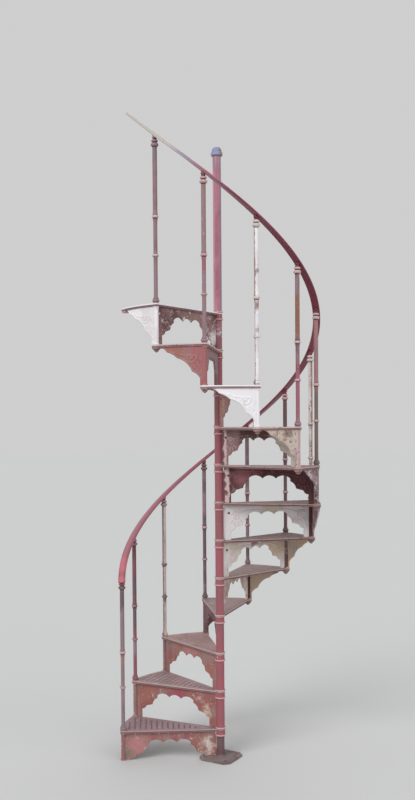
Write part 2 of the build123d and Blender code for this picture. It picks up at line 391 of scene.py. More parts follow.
# Finishes. Each effect is one node group with its own values in every paint.


def shaderGroup(name, build, outputs, **inputs):
    # Inputs with no value are vectors. build makes the outputs from the inputs, both in order.
    group = bpy.data.node_groups.new(name, "ShaderNodeTree")
    for label, value in inputs.items():
        kind = "NodeSocketVector" if value is None else "NodeSocketFloat"
        socket = group.interface.new_socket(label, in_out="INPUT", socket_type=kind)
        if value is not None:
            socket.default_value = value
    for label in outputs:
        kind = "NodeSocketColor" if label == "Color" else "NodeSocketFloat"
        group.interface.new_socket(label, in_out="OUTPUT", socket_type=kind)
    given = group.nodes.new("NodeGroupInput").outputs
    result = group.nodes.new("NodeGroupOutput").inputs
    for label, socket in zip(outputs, build(group, *given[: len(inputs)])):
        group.links.new(socket, result[label])
    return group


def flakePaint(group, vector, scale, amount):
    # Broken patches where a top coat has come off, with a lifted rim
    coarse = addNoise(group, vector, scale, 8.0, 0.72, 0.6)
    fine = addNoise(group, vector, addMath(group, "MULTIPLY", scale, 5.0), 4.0)
    mixed = addMath(group, "MULTIPLY_ADD", fine, 0.22, addMath(group, "MULTIPLY", coarse, 0.78))
    limit = addMath(group, "MULTIPLY_ADD", amount, -0.36, 0.68)
    mask = addStep(group, mixed, limit, addMath(group, "ADD", limit, 0.022))
    outer = addStep(group, mixed, addMath(group, "SUBTRACT", limit, 0.03), limit)
    return mask, addMath(group, "SUBTRACT", outer, mask, clamp=True)


def bloomRust(group, vector, scale, amount):
    # Soft patches of rust with fine grain, as a mask and a colour
    patch = addNoise(group, vector, scale, 7.0, 0.68, 0.4)
    grain = addNoise(group, vector, 420.0, 3.0, 0.7)
    mixed = addMath(group, "MULTIPLY_ADD", grain, 0.25, addMath(group, "MULTIPLY", patch, 0.8))
    limit = addMath(group, "MULTIPLY_ADD", amount, -0.40, 0.74)
    mask = addStep(group, mixed, limit, addMath(group, "ADD", limit, 0.11))
    tone = addNoise(group, vector, 90.0, 4.0, 0.7)
    colour = addBlend(group, addStep(group, tone, 0.38, 0.62), "darkRustAndShade", "rust")
    return mask, addBlend(group, addStep(group, grain, 0.56, 0.7), colour, "orangeRust")


def washDirt(group, vector, amount):
    # Dirt that rain has drawn down the faces
    stretch = addNode(group, "Mapping", {"Vector": vector, "Scale": (75.0, 75.0, 7.0)})
    fall = addNoise(group, stretch.outputs[0], 1.0)
    cloud = addNoise(group, vector, 9.0, 4.0)
    both = addMath(group, "MULTIPLY", fall, addMath(group, "ADD", cloud, 0.5))
    limit = addMath(group, "MULTIPLY_ADD", amount, -0.30, 0.62)
    return [addStep(group, both, limit, addMath(group, "ADD", limit, 0.2))]


def rubEdges(group, vector, edgeShare, hollowShare):
    # Light, rubbed edges and dark hollows, from how the surface bends
    bend = addNode(group, "NewGeometry").outputs["Pointiness"]
    grain = addNoise(group, vector, 120.0, 6.0, 0.7)
    rough = addMath(group, "MULTIPLY_ADD", grain, 0.10, addMath(group, "SUBTRACT", bend, 0.05))
    edge = addStep(group, rough, 0.53, 0.60)
    hollow = addStep(group, rough, 0.475, 0.43)
    return addMath(group, "MULTIPLY", edge, edgeShare), addMath(group, "MULTIPLY", hollow, hollowShare)


def strokeBand(group, vector, value, low, high, soft, breaks):
    # A broken stripe between two values of a coordinate
    above = addMath(group, "SUBTRACT", value, low)
    below = addMath(group, "SUBTRACT", high, value)
    inside = addMath(group, "DIVIDE", addMath(group, "MINIMUM", above, below), soft, clamp=True)
    grain = addNoise(group, vector, 60.0, 6.0, 0.7)
    limit = addMath(group, "MULTIPLY_ADD", breaks, 0.5, 0.2)
    ends = addMath(group, "SUBTRACT", limit, 0.03), addMath(group, "ADD", limit, 0.03)
    return [addMath(group, "MULTIPLY", inside, addStep(group, grain, *ends))]


def layPatch(group, vector, centre, radius, ragged):
    # A ragged patch of another coat round a point
    away = addNode(group, "VectorMath", {0: vector, 1: centre}, operation="DISTANCE").outputs["Value"]
    noise = addMath(group, "SUBTRACT", addNoise(group, vector, 22.0, 7.0, 0.7), 0.5)
    rough = addMath(group, "MULTIPLY_ADD", noise, addMath(group, "MULTIPLY", ragged, 4.0), away)
    return [addStep(group, rough, radius, addMath(group, "SUBTRACT", radius, ragged))]


flakedCoat = shaderGroup("flakedCoat", flakePaint, ["Mask", "Rim"], Vector=None, Scale=30.0, Amount=0.3)
rustBloom = shaderGroup("rustBloom", bloomRust, ["Mask", "Color"], Vector=None, Scale=14.0, Amount=0.3)
rainStreaks = shaderGroup("rainStreaks", washDirt, ["Mask"], Vector=None, Amount=0.3)
edgeWear = shaderGroup("edgeWear", rubEdges, ["Edge", "Hollow"], Vector=None, Edge=0.5, Hollow=0.5)
paintBand = shaderGroup(
    "paintBand", strokeBand, ["Mask"], Vector=None, Value=0.0, Low=0.0, High=1.0, Soft=0.001, Breaks=0.3,
)
paintPatch = shaderGroup("paintPatch", layPatch, ["Mask"], Vector=None, Centre=None, Radius=0.1, Ragged=0.06)


coatDefaults = {
    "top": "crimson",
    "shade": "plum",
    "under": "cream",
    "flakes": 0.2,
    "flakeScale": 34.0,
    "rust": 0.2,
    "rustScale": 12.0,
    "streaks": 0.25,
    "dirt": "greyDirt",
    "edge": "edgePink",
    "edgeShare": 0.5,
    "hollow": "dark",
    "hollowShare": 0.5,
    # crest: another paint on the highest relief; a lighter one is worn paint and a painted highlight
    "crest": "edgePink",  # on the highest relief
    "crestShare": 0.45,
    "crestFrom": 0.90,
    "crestSoft": 0.28,
    "roughness": 0.62,
    "specular": 0.4,
    "gloss": 0.0,
    "glossRoughness": 0.28,
    "bump": 0.45,
    "bumpDepth": 0.0012,
    "seed": 0.0,
    "slopes": (),  # (paint, axis, from, to, wobble): another coat to one side
    "patches": (),  # (paint, centre, radius, ragged)
    "bands": (),  # (paint, low, high, soft, breaks), by height over bandBase
    "bandBase": 0.0,
    "bandPitch": 0.0,  # repeats the bands
}


def addGroup(tree, group, **values):
    node = tree.nodes.new("ShaderNodeGroup")
    node.node_tree = group
    for key, value in values.items():
        feed(tree, node.inputs[key], value)
    return node.outputs


def addSlopes(tree, coat, place, vector, colour):
    for paint, axis, start, end, wobble in coat["slopes"]:
        along = addNode(tree, "VectorMath", {0: place, 1: axis}, operation="DOT_PRODUCT").outputs["Value"]
        noise = addMath(tree, "SUBTRACT", addNoise(tree, vector, 28.0, 6.0, 0.7), 0.5)
        share = addStep(tree, addMath(tree, "MULTIPLY_ADD", noise, wobble, along), start, end)
        colour = addBlend(tree, share, colour, paint)
    return colour


def addPatches(tree, coat, shift, vector, colour):
    for paint, centre, radius, ragged in coat["patches"]:
        middle = tuple(Vector(centre) + Vector(shift))
        patch = addGroup(tree, paintPatch, Vector=vector, Centre=middle, Radius=radius, Ragged=ragged)
        colour = addBlend(tree, patch["Mask"], colour, paint)
    return colour


def addBands(tree, coat, place, vector, colour):
    height = addNode(tree, "SeparateXYZ", {0: place}).outputs["Z"]
    height = addMath(tree, "SUBTRACT", height, coat["bandBase"])
    if coat["bandPitch"]:
        height = addMath(tree, "FLOORED_MODULO", height, coat["bandPitch"])
    for paint, low, high, soft, breaks in coat["bands"]:
        ends = {"Low": low, "High": high, "Soft": soft, "Breaks": breaks}
        band = addGroup(tree, paintBand, Vector=vector, Value=height, **ends)
        colour = addBlend(tree, band["Mask"], colour, paint)
    return colour


# Another paint on the highest relief: a lighter one is worn paint and a painted highlight, and a darker one
# on the treads' groove floors is dirt
def addCrests(tree, coat, vector, colour):
    relief = addNode(tree, "Attribute", attribute_name="relief").outputs["Fac"]
    rough = addMath(tree, "MULTIPLY_ADD", addNoise(tree, vector, 70.0, 6.0, 0.7), 0.9, relief)
    crest = addStep(tree, rough, coat["crestFrom"], coat["crestFrom"] + coat["crestSoft"])
    return addBlend(tree, addMath(tree, "MULTIPLY", crest, coat["crestShare"]), colour, coat["crest"])


def ironPaint(name, **changes):
    coat = {**coatDefaults, **changes}
    material = bpy.data.materials.new(name)
    material.use_nodes = True
    tree = material.node_tree
    shader = tree.nodes["Principled BSDF"].inputs
    place = addNode(tree, "TexCoord").outputs["Object"]
    shift = tuple(coat["seed"] * way for way in (1.7, -2.3, 0.9))  # another part of the noise for each seed
    vector = addNode(tree, "Mapping", {"Vector": place, "Location": shift}).outputs[0]

    tone = addNoise(tree, vector, 7.0, 6.0, 0.65)
    colour = addBlend(tree, addStep(tree, tone, 0.40, 0.62), coat["top"], coat["shade"])
    colour = addSlopes(tree, coat, place, vector, colour)
    colour = addPatches(tree, coat, shift, vector, colour)
    flakes = addGroup(tree, flakedCoat, Vector=vector, Scale=coat["flakeScale"], Amount=coat["flakes"])
    colour = addBlend(tree, flakes["Mask"], colour, coat["under"])
    rust = addGroup(tree, rustBloom, Vector=vector, Scale=coat["rustScale"], Amount=coat["rust"])
    colour = addBlend(tree, rust["Mask"], colour, rust["Color"])
    streaks = addGroup(tree, rainStreaks, Vector=vector, Amount=coat["streaks"])
    colour = addBlend(tree, addMath(tree, "MULTIPLY", streaks["Mask"], 0.5), colour, coat["dirt"])
    if coat["bands"]:
        colour = addBands(tree, coat, place, vector, colour)
    if coat["crestShare"]:
        colour = addCrests(tree, coat, vector, colour)
    wear = addGroup(tree, edgeWear, Vector=vector, Edge=coat["edgeShare"], Hollow=coat["hollowShare"])
    colour = addBlend(tree, wear["Edge"], colour, coat["edge"])
    colour = addBlend(tree, wear["Hollow"], colour, coat["hollow"])
    tree.links.new(colour, shader["Base Color"])

    matt = addMath(tree, "MULTIPLY_ADD", tone, 0.18, coat["roughness"] - 0.09)
    matt = addMath(tree, "MULTIPLY_ADD", rust["Mask"], 0.25, matt, clamp=True)
    tree.links.new(matt, shader["Roughness"])
    shader["Specular IOR Level"].default_value = coat["specular"]
    shader["Coat Weight"].default_value = coat["gloss"]
    shader["Coat Roughness"].default_value = coat["glossRoughness"]

    orange = addNoise(tree, vector, 160.0, 4.0)  # brush marks and orange peel
    height = addMath(tree, "MULTIPLY_ADD", flakes["Mask"], -0.35, addMath(tree, "MULTIPLY", orange, 0.35))
    height = addMath(tree, "MULTIPLY_ADD", flakes["Rim"], 0.25, height)
    pits = addMath(tree, "MULTIPLY", rust["Mask"], addNoise(tree, vector, 500.0, 2.0))
    height = addMath(tree, "MULTIPLY_ADD", pits, 0.6, height)
    bump = {"Height": height, "Strength": coat["bump"], "Distance": coat["bumpDepth"]}
    tree.links.new(addNode(tree, "Bump", bump).outputs["Normal"], shader["Normal"])
    return material


# The newel: sleeves between the tread hubs, the tall post and its cap
newel = {
    "tubeRadius": 0.025,
    "footTubeRadius": 0.023,
    "ringCore": 0.0275,
    "ringRadius": 0.032,
    "ringHalf": 0.0045,
    "bore": 0.0175,
    "plateThickness": 0.014,
    "hubDepth": 0.036,
    "postLength": 0.935,
    "sides": 48,
    "cap": [  # radius and height over the post
        (0.018, 0.0), (0.032, 0.0), (0.035, 0.003), (0.035, 0.017), (0.033, 0.021), (0.0290, 0.023),
        (0.0290, 0.027), (0.0285, 0.033), (0.0270, 0.039), (0.0240, 0.0445), (0.0190, 0.0490),
        (0.0120, 0.0518), (0.0040, 0.0530),
    ],
    "coat": {
        "shade": "newelDull", "under": "ringPink", "flakes": 0.1, "flakeScale": 26.0, "rust": 0.1,
        "streaks": 0.3, "edgeShare": 0.4, "roughness": 0.5, "gloss": 0.2, "crestShare": 0.0,
    },
}


def sleeveShape(foot, head, radius, footRing=True, headRing=True, levels=11):
    core, reach, half = newel["ringCore"], newel["ringRadius"], newel["ringHalf"]
    if footRing:
        profile = bead(foot + half, core, reach, half)
        low = foot + 2 * half
        profile += [(core, low + 0.0005), (radius + 0.0008, low + 0.002), (radius, low + 0.004)]
    else:
        profile = [(radius + 0.003, foot), (radius + 0.003, foot + 0.004), (radius, foot + 0.008)]
    low = profile[-1][1]
    high = head - 2 * half - 0.004 if headRing else head - 0.002
    profile += [(radius, low + (high - low) * index / levels) for index in range(1, levels + 1)]
    if headRing:
        profile += [(radius + 0.0008, high + 0.002), (core, high + 0.0035)]
        profile += bead(head - half, core, reach, half)
    else:
        profile += [(radius - 0.001, head)]
    return turned(profile, newel["sides"], newel["bore"])


def buildNewel():
    ring = 2 * newel["ringHalf"]
    gap = flight["rise"] - newel["hubDepth"]  # from a tread's top to the next hub
    # Bands round the newel: pink paint on each ring, and dark bands on the tube beside the rings, painted
    # shade in the creases
    rings = [
        ("ringPink", -0.0005, ring + 0.0005, 0.001, 0.30),
        ("ringPink", gap - ring - 0.0005, gap + 0.0005, 0.001, 0.30),
        ("dark", ring + 0.0005, ring + 0.0032, 0.001, 0.5),
        ("dark", gap - ring - 0.0032, gap - ring - 0.0005, 0.001, 0.55),
    ]
    tubePaint = ironPaint(
        "newelPaint", **newel["coat"], top="newelRed", seed=3.0,
        bands=rings, bandBase=flight["firstTop"], bandPitch=flight["rise"],
        slopes=[("footPlum", (0, 0, -1), -0.15, -0.13, 0.01), ("tallRose", (0, 0, 1), 2.45, 3.0, 0.5)],
        patches=[("chalk", (0, -0.03, 2.58), 0.04, 0.06)],
    )
    foot = treadTop(flight["steps"] - 1)
    head = foot + newel["postLength"]
    # Painted light on the tall post: a painted highlight down its left side in paler pink, and a painted
    # sheen down its right side in greyer mauve
    slopes = [
        ("tallPaintedHighlight", (-1, 0, 0), 0.010, 0.022, 0.008),
        ("tallMauve", (1, 0, 0), 0.004, 0.018, 0.02),
        ("tallMauve", (0, 0, 1), head - 0.14, head, 0.15),
    ]
    tallCoat = {**newel["coat"], "top": "tallRose", "shade": "tallDusty", "rust": 0.05, "seed": 4.0}
    # The tall post takes the foot ring's pink band and the painted shade just above it
    tallPaint = ironPaint("tallPostPaint", **tallCoat, bands=rings[::2], bandBase=foot, slopes=slopes)
    sleeves = [
        sleeveShape(newel["plateThickness"], treadTop(0) - newel["hubDepth"], newel["footTubeRadius"], False)
    ]
    for step in range(flight["steps"] - 1):
        sleeves.append(sleeveShape(treadTop(step), treadTop(step) + gap, newel["tubeRadius"]))
    putPiece("newel_tubes", joined(*sleeves), tubePaint, ["newel_sleeves"])
    post = sleeveShape(foot, head, newel["tubeRadius"], headRing=False)
    putPiece("newel_tall_tube", post, tallPaint, ["newel_post"])
    capPaint = ironPaint(
        "capPaint", top="capGrey", shade="capGrey", under="capGreen", flakes=0.25, rust=0.05,
        edgeShare=0.3, seed=5.0, crestShare=0.0, slopes=[("capGreen", (1, 0, 0), 0.0, 0.03, 0.03)],
    )
    cap = lifted(turned(newel["cap"], newel["sides"]), 0, 0, head)
    putPiece("newel_finial", cap, capPaint, ["newel_cap"])
    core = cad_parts["newel_core"]
    core.data.materials.clear()
    core.data.materials.append(tubePaint)


buildNewel()
print("newel made")


# Outlines, and cast panels with relief. The relief is a height over each point, in metres.


def insideOutline(points, outline):
    # Which points lie inside a closed outline, by counting crossings
    outline = np.asarray(outline)
    inside = np.zeros(len(points), bool)
    for start, end in zip(outline, np.roll(outline, -1, 0)):
        crosses = (start[1] > points[:, 1]) != (end[1] > points[:, 1])
        slope = (end[0] - start[0]) / (end[1] - start[1] if end[1] != start[1] else 1e-12)
        inside ^= crosses & (points[:, 0] < start[0] + slope * (points[:, 1] - start[1]))
    return inside


def fromLine(points, start, end):
    # How far each point is from a straight line, and where it is along it, 0 to 1
    span = end - start
    share = np.clip(((points - start) @ span) / max(span @ span, 1e-12), 0, 1)
    gap = points - start - share[:, None] * span
    return np.hypot(gap[:, 0], gap[:, 1]), share


def edgeDistance(points, outline, closed=True):
    # The distance of each point from the nearest edge of an outline
    outline = np.asarray(outline, float)
    ends = np.roll(outline, -1, 0) if closed else outline[1:]
    return np.min([fromLine(points, start, end)[0] for start, end in zip(outline, ends)], 0)


def inset(outline, amount):
    # Points beside an outline, moved inwards. The outline runs anticlockwise.
    outline = np.asarray(outline, float)
    before = outline - np.roll(outline, 1, 0)
    after = np.roll(outline, -1, 0) - outline
    before /= np.maximum(np.linalg.norm(before, axis=1), 1e-9)[:, None]
    after /= np.maximum(np.linalg.norm(after, axis=1), 1e-9)[:, None]
    along = before + after
    along /= np.maximum(np.linalg.norm(along, axis=1), 1e-9)[:, None]
    return outline + np.stack([-along[:, 1], along[:, 0]], 1) * amount


def filledOutline(outline, holes=(), extra=()):
    # Triangles that fill an outline round its holes, and use the extra points inside it
    points, edges = [], []
    for loop in [outline, *holes]:
        first = len(points)
        points += [Vector(point) for point in loop]
        edges += [(first + index, first + (index + 1) % len(loop)) for index in range(len(loop))]
    points += [Vector(point) for point in extra]
    points, edges, faces, *_ = delaunay_2d_cdt(points, edges, [], 0, 1e-7)
    points = np.array([tuple(point) for point in points])
    centres = np.array([points[list(face)].mean(0) for face in faces])
    kept = insideOutline(centres, outline)
    for hole in holes:
        kept &= ~insideOutline(centres, hole)
    return points, [tuple(face) for face, keep in zip(faces, kept) if keep]


def gridPoints(outline, pitch, margin):
    # A staggered grid inside an outline, clear of its edge by the margin
    outline = np.asarray(outline)
    low, high = outline.min(0), outline.max(0)
    points = []
    for index, row in enumerate(np.arange(low[1] + pitch / 2, high[1], pitch * 0.866)):
        start = low[0] + (pitch / 2 if index % 2 else pitch)
        points += [(x, row) for x in np.arange(start, high[0], pitch)]
    points = np.array(points)
    points = points[insideOutline(points, outline)]
    return points[edgeDistance(points, outline) > margin]


def splitLong(outline, pitch):
    # More points on an outline's long edges
    points = []
    for start, end in zip(outline, outline[1:] + outline[:1]):
        pieces = max(1, round(math.dist(start, end) / pitch))
        for share in np.arange(pieces) / pieces:
            points.append((start[0] + (end[0] - start[0]) * share, start[1] + (end[1] - start[1]) * share))
    return points


def dome(share):
    # Half round: 1 at 0, and 0 from 1 on
    return np.sqrt(np.clip(1 - share ** 2, 0, 1))


def castPanel(outline, thickness, relief, pitch, rounding=0.0016):
    # A panel in its own plane: x and z along it, y through it, its front towards -y. The
    # relief gives the height of its front at each point. Also returns that height, 0 to 1.
    rim = splitLong(outline, pitch * 1.4)
    rows = [inset(rim, rounding * 0.45), inset(rim, rounding * 1.15), gridPoints(rim, pitch, rounding * 2)]
    extra = np.concatenate(rows)
    extra = extra[insideOutline(extra, rim)]
    extra = extra[edgeDistance(extra, rim) > rounding * 0.3]
    points, faces = filledOutline(rim, extra=extra)
    gap = edgeDistance(points, rim)
    drop = rounding * (1 - dome(np.clip(1 - gap / rounding, 0, 1)))
    raised = relief(points, gap)
    front = np.stack([points[:, 0], -thickness / 2 - raised + drop, points[:, 1]], 1)
    back = np.stack([points[:, 0], thickness / 2 - drop, points[:, 1]], 1)
    count = len(points)
    allFaces = list(faces) + [tuple(index + count for index in reversed(face)) for face in faces]
    owned = {(a, b) for face in faces for a, b in zip(face, face[1:] + face[:1])}
    for a, b in sorted(owned):
        if (b, a) not in owned:
            allFaces.append((b, a, a + count, b + count))
    return (np.concatenate([front, back]), allFaces), raised / max(raised.max(), 1e-9)


def border(points, outline, distance, half, height):
    # A half-round rib beside an open outline
    return height * dome((edgeDistance(points, outline, closed=False) - distance) / half)


def ridge(points, spine, startHalf, endHalf, height):
    # A half-round rib along a spine, with its half widths at both ends
    spine = np.asarray(spine, float)
    lengths = np.r_[0, np.cumsum(np.linalg.norm(np.diff(spine, axis=0), axis=1))]
    shares = []
    for index in range(len(spine) - 1):
        gap, along = fromLine(points, spine[index], spine[index + 1])
        at = (lengths[index] + along * (lengths[index + 1] - lengths[index])) / lengths[-1]
        shares.append(gap / (startHalf + (endHalf - startHalf) * at))
    return height * dome(np.min(shares, 0))


def button(points, centre, radius, height):
    return height * dome(np.hypot(points[:, 0] - centre[0], points[:, 1] - centre[1]) / radius)


def leaf(points, root, tip, width, height, ribHalf=0.0016, ribDepth=0.55):
    # A pointed leaf with a sunk midrib
    root, tip = np.asarray(root, float), np.asarray(tip, float)
    span = tip - root
    length = np.linalg.norm(span)
    along = ((points - root) @ span) / length ** 2
    across = ((points - root) @ np.array([-span[1], span[0]])) / length
    half = width * np.sin(math.pi * np.clip(along, 0, 1) ** 0.7)
    body = np.where((along > 0) & (along < 1), dome(across / np.maximum(half, 1e-5)), 0)
    return height * body * (1 - ribDepth * np.clip(1 - np.abs(across) / ribHalf, 0, 1))


def spiral(centre, radius, inner, start, turns, count=30):
    # A volute from its outer end in to its eye
    points = []
    for index in range(count + 1):
        share = index / count
        size = radius * (inner / radius) ** share
        angle = math.radians(start + 360 * turns * share)
        points.append((centre[0] + size * math.cos(angle), centre[1] + size * math.sin(angle)))
    return points


def faded(gap, clear, width):
    # 0 up to the clear distance, and from there up to 1 over the width
    return np.clip((gap - clear) / width, 0, 1)


# Risers: pierced panels with a scalloped arch, and scrolls in low relief on the front.
# Places on the ornament are across from the arch's centre and down from the tread's top.
riser = {
    "thickness": 0.008,
    "innerEdge": 0.0323,
    "sleeveEdge": 0.0253,
    "outerEdge": 0.5752,
    "top": -0.017,
    "neckTop": -0.0453,
    "neckBottom": -0.2193,
    "centre": 0.308,
    "pitch": 0.0030,
    "border": (0.0065, 0.0036, 0.0026),
    "lineEnds": (0.045, 0.562),
    "lineLevels": (-0.0285, -0.0365),
    "lineRib": (0.003, 0.003, 0.0022),
    "eye": (0.208, -0.086),
    "eyeButton": (0.0075, 0.0042),
    "volute": (0.031, 0.008),
    "voluteRib": (0.0056, 0.0036, 0.0036),
    "stem": ((0.135, -0.055, 0.006), (0.045, -0.051, -0.004)),
    "stemRib": (0.0052, 0.0028, 0.0030),
    "leaves": ((-52, 0.034), (-80, 0.044), (-108, 0.056), (-138, 0.040)),  # angle and length
    "leafRoot": 0.026,
    "leafSize": (0.0088, 0.0034),
    "tail": ((0.245, -0.150), (0.250, -0.212, 0.004)),
    "tailRib": (0.0060, 0.0025, 0.0026),
    "pendant": (0.0, -0.0505),
    "pendantButton": (0.0085, 0.0036),
    "bolts": ((0.059, -0.064), (0.539, -0.035)),
    "boltFade": (0.0095, 0.002),
    "edgeFade": (0.0012, 0.003),
}


def archOutline(footDepth):
    side = drawn(
        (-0.234, -footDepth), (-0.234, -0.172), (-0.204, -0.150, -0.007), (-0.160, -0.138),
        (-0.126, -0.096, 0.008), (-0.126, -0.080), (-0.040, -0.080, 0.018, 12),
    )
    middle = arcPoints(side[-1], (0.040, -0.080), 0.018, 12)
    other = [(-across, height) for across, height in reversed(side)]
    return [(riser["centre"] + across, height) for across, height in side + middle + other[1:]]


def riserOutline(footDepth):
    # Anticlockwise seen from the front
    inner, sleeve, outer = riser["innerEdge"], riser["sleeveEdge"], riser["outerEdge"]
    outline = [(inner, riser["top"]), (inner, riser["neckTop"]), (sleeve, riser["neckTop"])]
    outline += [(sleeve, riser["neckBottom"]), (inner, riser["neckBottom"]), (inner, -footDepth)]
    return outline + archOutline(footDepth) + [(outer, -footDepth), (outer, riser["top"])]


def onSide(side, across, depth, *bulge):
    # A place on the left (-1) or right (1) half of a riser, or an arc's end with its bulge
    return (riser["centre"] + side * across, depth, *(side * amount for amount in bulge))


def riserRelief(points, gap):
    layers = [border(points, archOutline(flight["rise"]), *riser["border"])]
    for level in riser["lineLevels"]:
        layers.append(ridge(points, [(along, level) for along in riser["lineEnds"]], *riser["lineRib"]))
    for side in (-1, 1):
        eye = onSide(side, *riser["eye"])
        scroll = spiral(eye, *riser["volute"], 90 - side * 60, side * 1.3)
        layers.append(ridge(points, scroll, *riser["voluteRib"]))
        layers.append(button(points, eye, *riser["eyeButton"]))
        stem = drawn(scroll[0], *(onSide(side, *run) for run in riser["stem"]))
        layers.append(ridge(points, stem, *riser["stemRib"]))
        for lean, length in riser["leaves"]:
            angle = math.radians(-90 + side * (lean + 90))
            way = np.array([math.cos(angle), math.sin(angle)])
            root = np.array(eye) + way * riser["leafRoot"]
            layers.append(leaf(points, root, root + way * length, *riser["leafSize"]))
        tail = drawn(*(onSide(side, *run) for run in riser["tail"]))
        layers.append(ridge(points, tail, *riser["tailRib"]))
    layers.append(button(points, onSide(1, *riser["pendant"]), *riser["pendantButton"]))
    height = np.max(layers, 0)
    for x, z in riser["bolts"]:
        height *= faded(np.hypot(points[:, 0] - x, points[:, 1] - z), *riser["boltFade"])
    return height * faded(gap, *riser["edgeFade"])


# White on the highest relief of risers 11 and 12: flecks of white paint and a painted highlight
flecksAndHighlights = {"crest": "coldWhite", "crestShare": 0.85, "crestFrom": 1.18}
riserCoats = coatRows(
    "top shade under flakes rust streaks",
    ("oxideRed", "brownPink", "cream", 0.30, 0.36, 0.3),
    ("oxideRed", "brownPink", "cream", 0.26, 0.36, 0.25),
    ("brick", "brownPink", "cream", 0.22, 0.32, 0.25),
    ("plum", "maroon", "cream", 0.2, 0.3, 0.3),
    ("cream", "brownPink", "oxideRed", 0.25, 0.25, 0.3),
    ("cream", "chalk", "ochreCream", 0.2, 0.15, 0.1),
    ("chalk", "chalk", "ringPink", 0.15, 0.08, -0.1),
    ("maroon", "maroon", "plum", 0.3, 0.15, 0.25, {"crest": "plum"}),
    ("brownPink", "mauveBrown", "cream", 0.25, 0.3, 0.2),
    ("brownPink", "salmon", "cream", 0.25, 0.35, 0.3),
    ("mauveBrown", "mauveBrown", "chalk", 0.24, 0.2, 0.25, flecksAndHighlights),
    ("brownPink", "plum", "chalk", 0.34, 0.2, 0.25, flecksAndHighlights),
)
riserPatches = {  # by step: paint, along the riser, depth, radius, ragged
    0: [
        ("crimson", 0.27, -0.04, 0.06, 0.06),
        ("salmon", 0.50, -0.10, 0.09, 0.06),
        ("cream", 0.080, -0.11, 0.06, 0.06),
        ("oliveDirt", 0.56, -0.14, 0.04, 0.04),
    ],
    1: [
        ("brick", 0.50, -0.08, 0.08, 0.06),
        ("crimson", 0.28, -0.04, 0.08, 0.07),
        ("ochreCream", 0.085, -0.14, 0.05, 0.07),
        ("cream", 0.14, -0.07, 0.025, 0.05),
        ("oliveDirt", 0.57, -0.05, 0.03, 0.03),
    ],
    2: [
        ("salmon", 0.30, -0.05, 0.10, 0.06),
        ("brick", 0.09, -0.12, 0.06, 0.05),
        ("oxideRed", 0.52, -0.10, 0.07, 0.06),
    ],
    5: [("ochreCream", 0.48, -0.06, 0.14, 0.07), ("brownPink", 0.30, -0.03, 0.05, 0.04)],
    6: [("cream", 0.33, -0.025, 0.10, 0.06), ("ringPink", 0.45, -0.14, 0.04, 0.04)],
    7: [("newelDull", 0.16, -0.05, 0.10, 0.06), ("oliveDirt", 0.09, -0.16, 0.025, 0.04)],
    8: [("cream", 0.53, -0.09, 0.19, 0.06), ("darkRustAndShade", 0.29, -0.04, 0.145, 0.06)],
    9: [("dustyOrange", 0.07, -0.10, 0.07, 0.05)],
    11: [("chalk", 0.055, -0.15, 0.07, 0.07), ("chalk", 0.13, -0.10, 0.03, 0.05)],
}
paleLegs = {  # by step: the leg beside the newel, as paint, from, to, wobble
    6: [("chalk", 0.070, 0.060, 0.03)],
    7: [("edgePink", 0.070, 0.060, 0.03), ("plum", 0.046, 0.040, 0.08)],
    8: [("edgePink", 0.070, 0.060, 0.03), ("plum", 0.046, 0.040, 0.08)],
}


def riserFixings(step):
    # A round bolt head in front, and its nut and end behind
    head = turned([(0.0078, 0.0), (0.0078, 0.001), (0.0066, 0.003), (0.0040, 0.0042), (0.0010, 0.0046)], 24)
    end = turned([(0.0036, 0.0), (0.0036, 0.0080), (0.0028, 0.0088)], 16)
    half = riser["thickness"] / 2 - 0.0002
    shapes = []
    for along, depth in riser["bolts"]:
        for shape, side in ((head, -1), (joined(hexNut(0.0135, 0.0055), end), 1)):
            place = stepPlace(step) @ Matrix.Translation((along, side * half, depth))
            shapes.append(moved(shape, place @ Matrix.Rotation(-side * math.pi / 2, 4, "X")))
    return shapes


def buildRisers():
    floor = newel["plateThickness"] - flight["firstTop"]
    lowOutline = [(x, max(z, floor) if x < 0.09 else z) for x, z in riserOutline(flight["firstTop"])]
    panels = [
        castPanel(outline, riser["thickness"], riserRelief, riser["pitch"])
        for outline in (lowOutline, riserOutline(flight["rise"]))
    ]
    fixings = []
    for step in range(flight["steps"]):
        number = f"{step + 1:02d}"
        outwards = tuple(onCircle(1, heading(step), 0))
        patches = patchesOn(riserPatches.get(step, ()), lambda x, z: stepPlace(step) @ Vector((x, 0, z)))
        slopes = [(leg, outwards, *ends) for leg, *ends in paleLegs.get(step, ())]
        coat = {"flakeScale": 38.0, "seed": 10.0 + step, "patches": patches, "slopes": slopes}
        paint = ironPaint(f"riserPaint{number}", **coat, **riserCoats[step])
        panel, marks = panels[min(step, 1)]
        shape = moved(panel, stepPlace(step))
        putPiece(f"riser_panel_{number}", shape, paint, [f"riser_{number}"], marks)
        fixings += riserFixings(step)
    fixingCoat = {"top": "darkRustAndShade", "shade": "dark", "under": "rust", "flakes": 0.3, "rust": 0.4}
    fixingPaint = ironPaint("fixingPaint", **fixingCoat, seed=33.0, crestShare=0.0)
    putPiece("riser_bolts", joined(*fixings), fixingPaint)


buildRisers()
print("risers made")


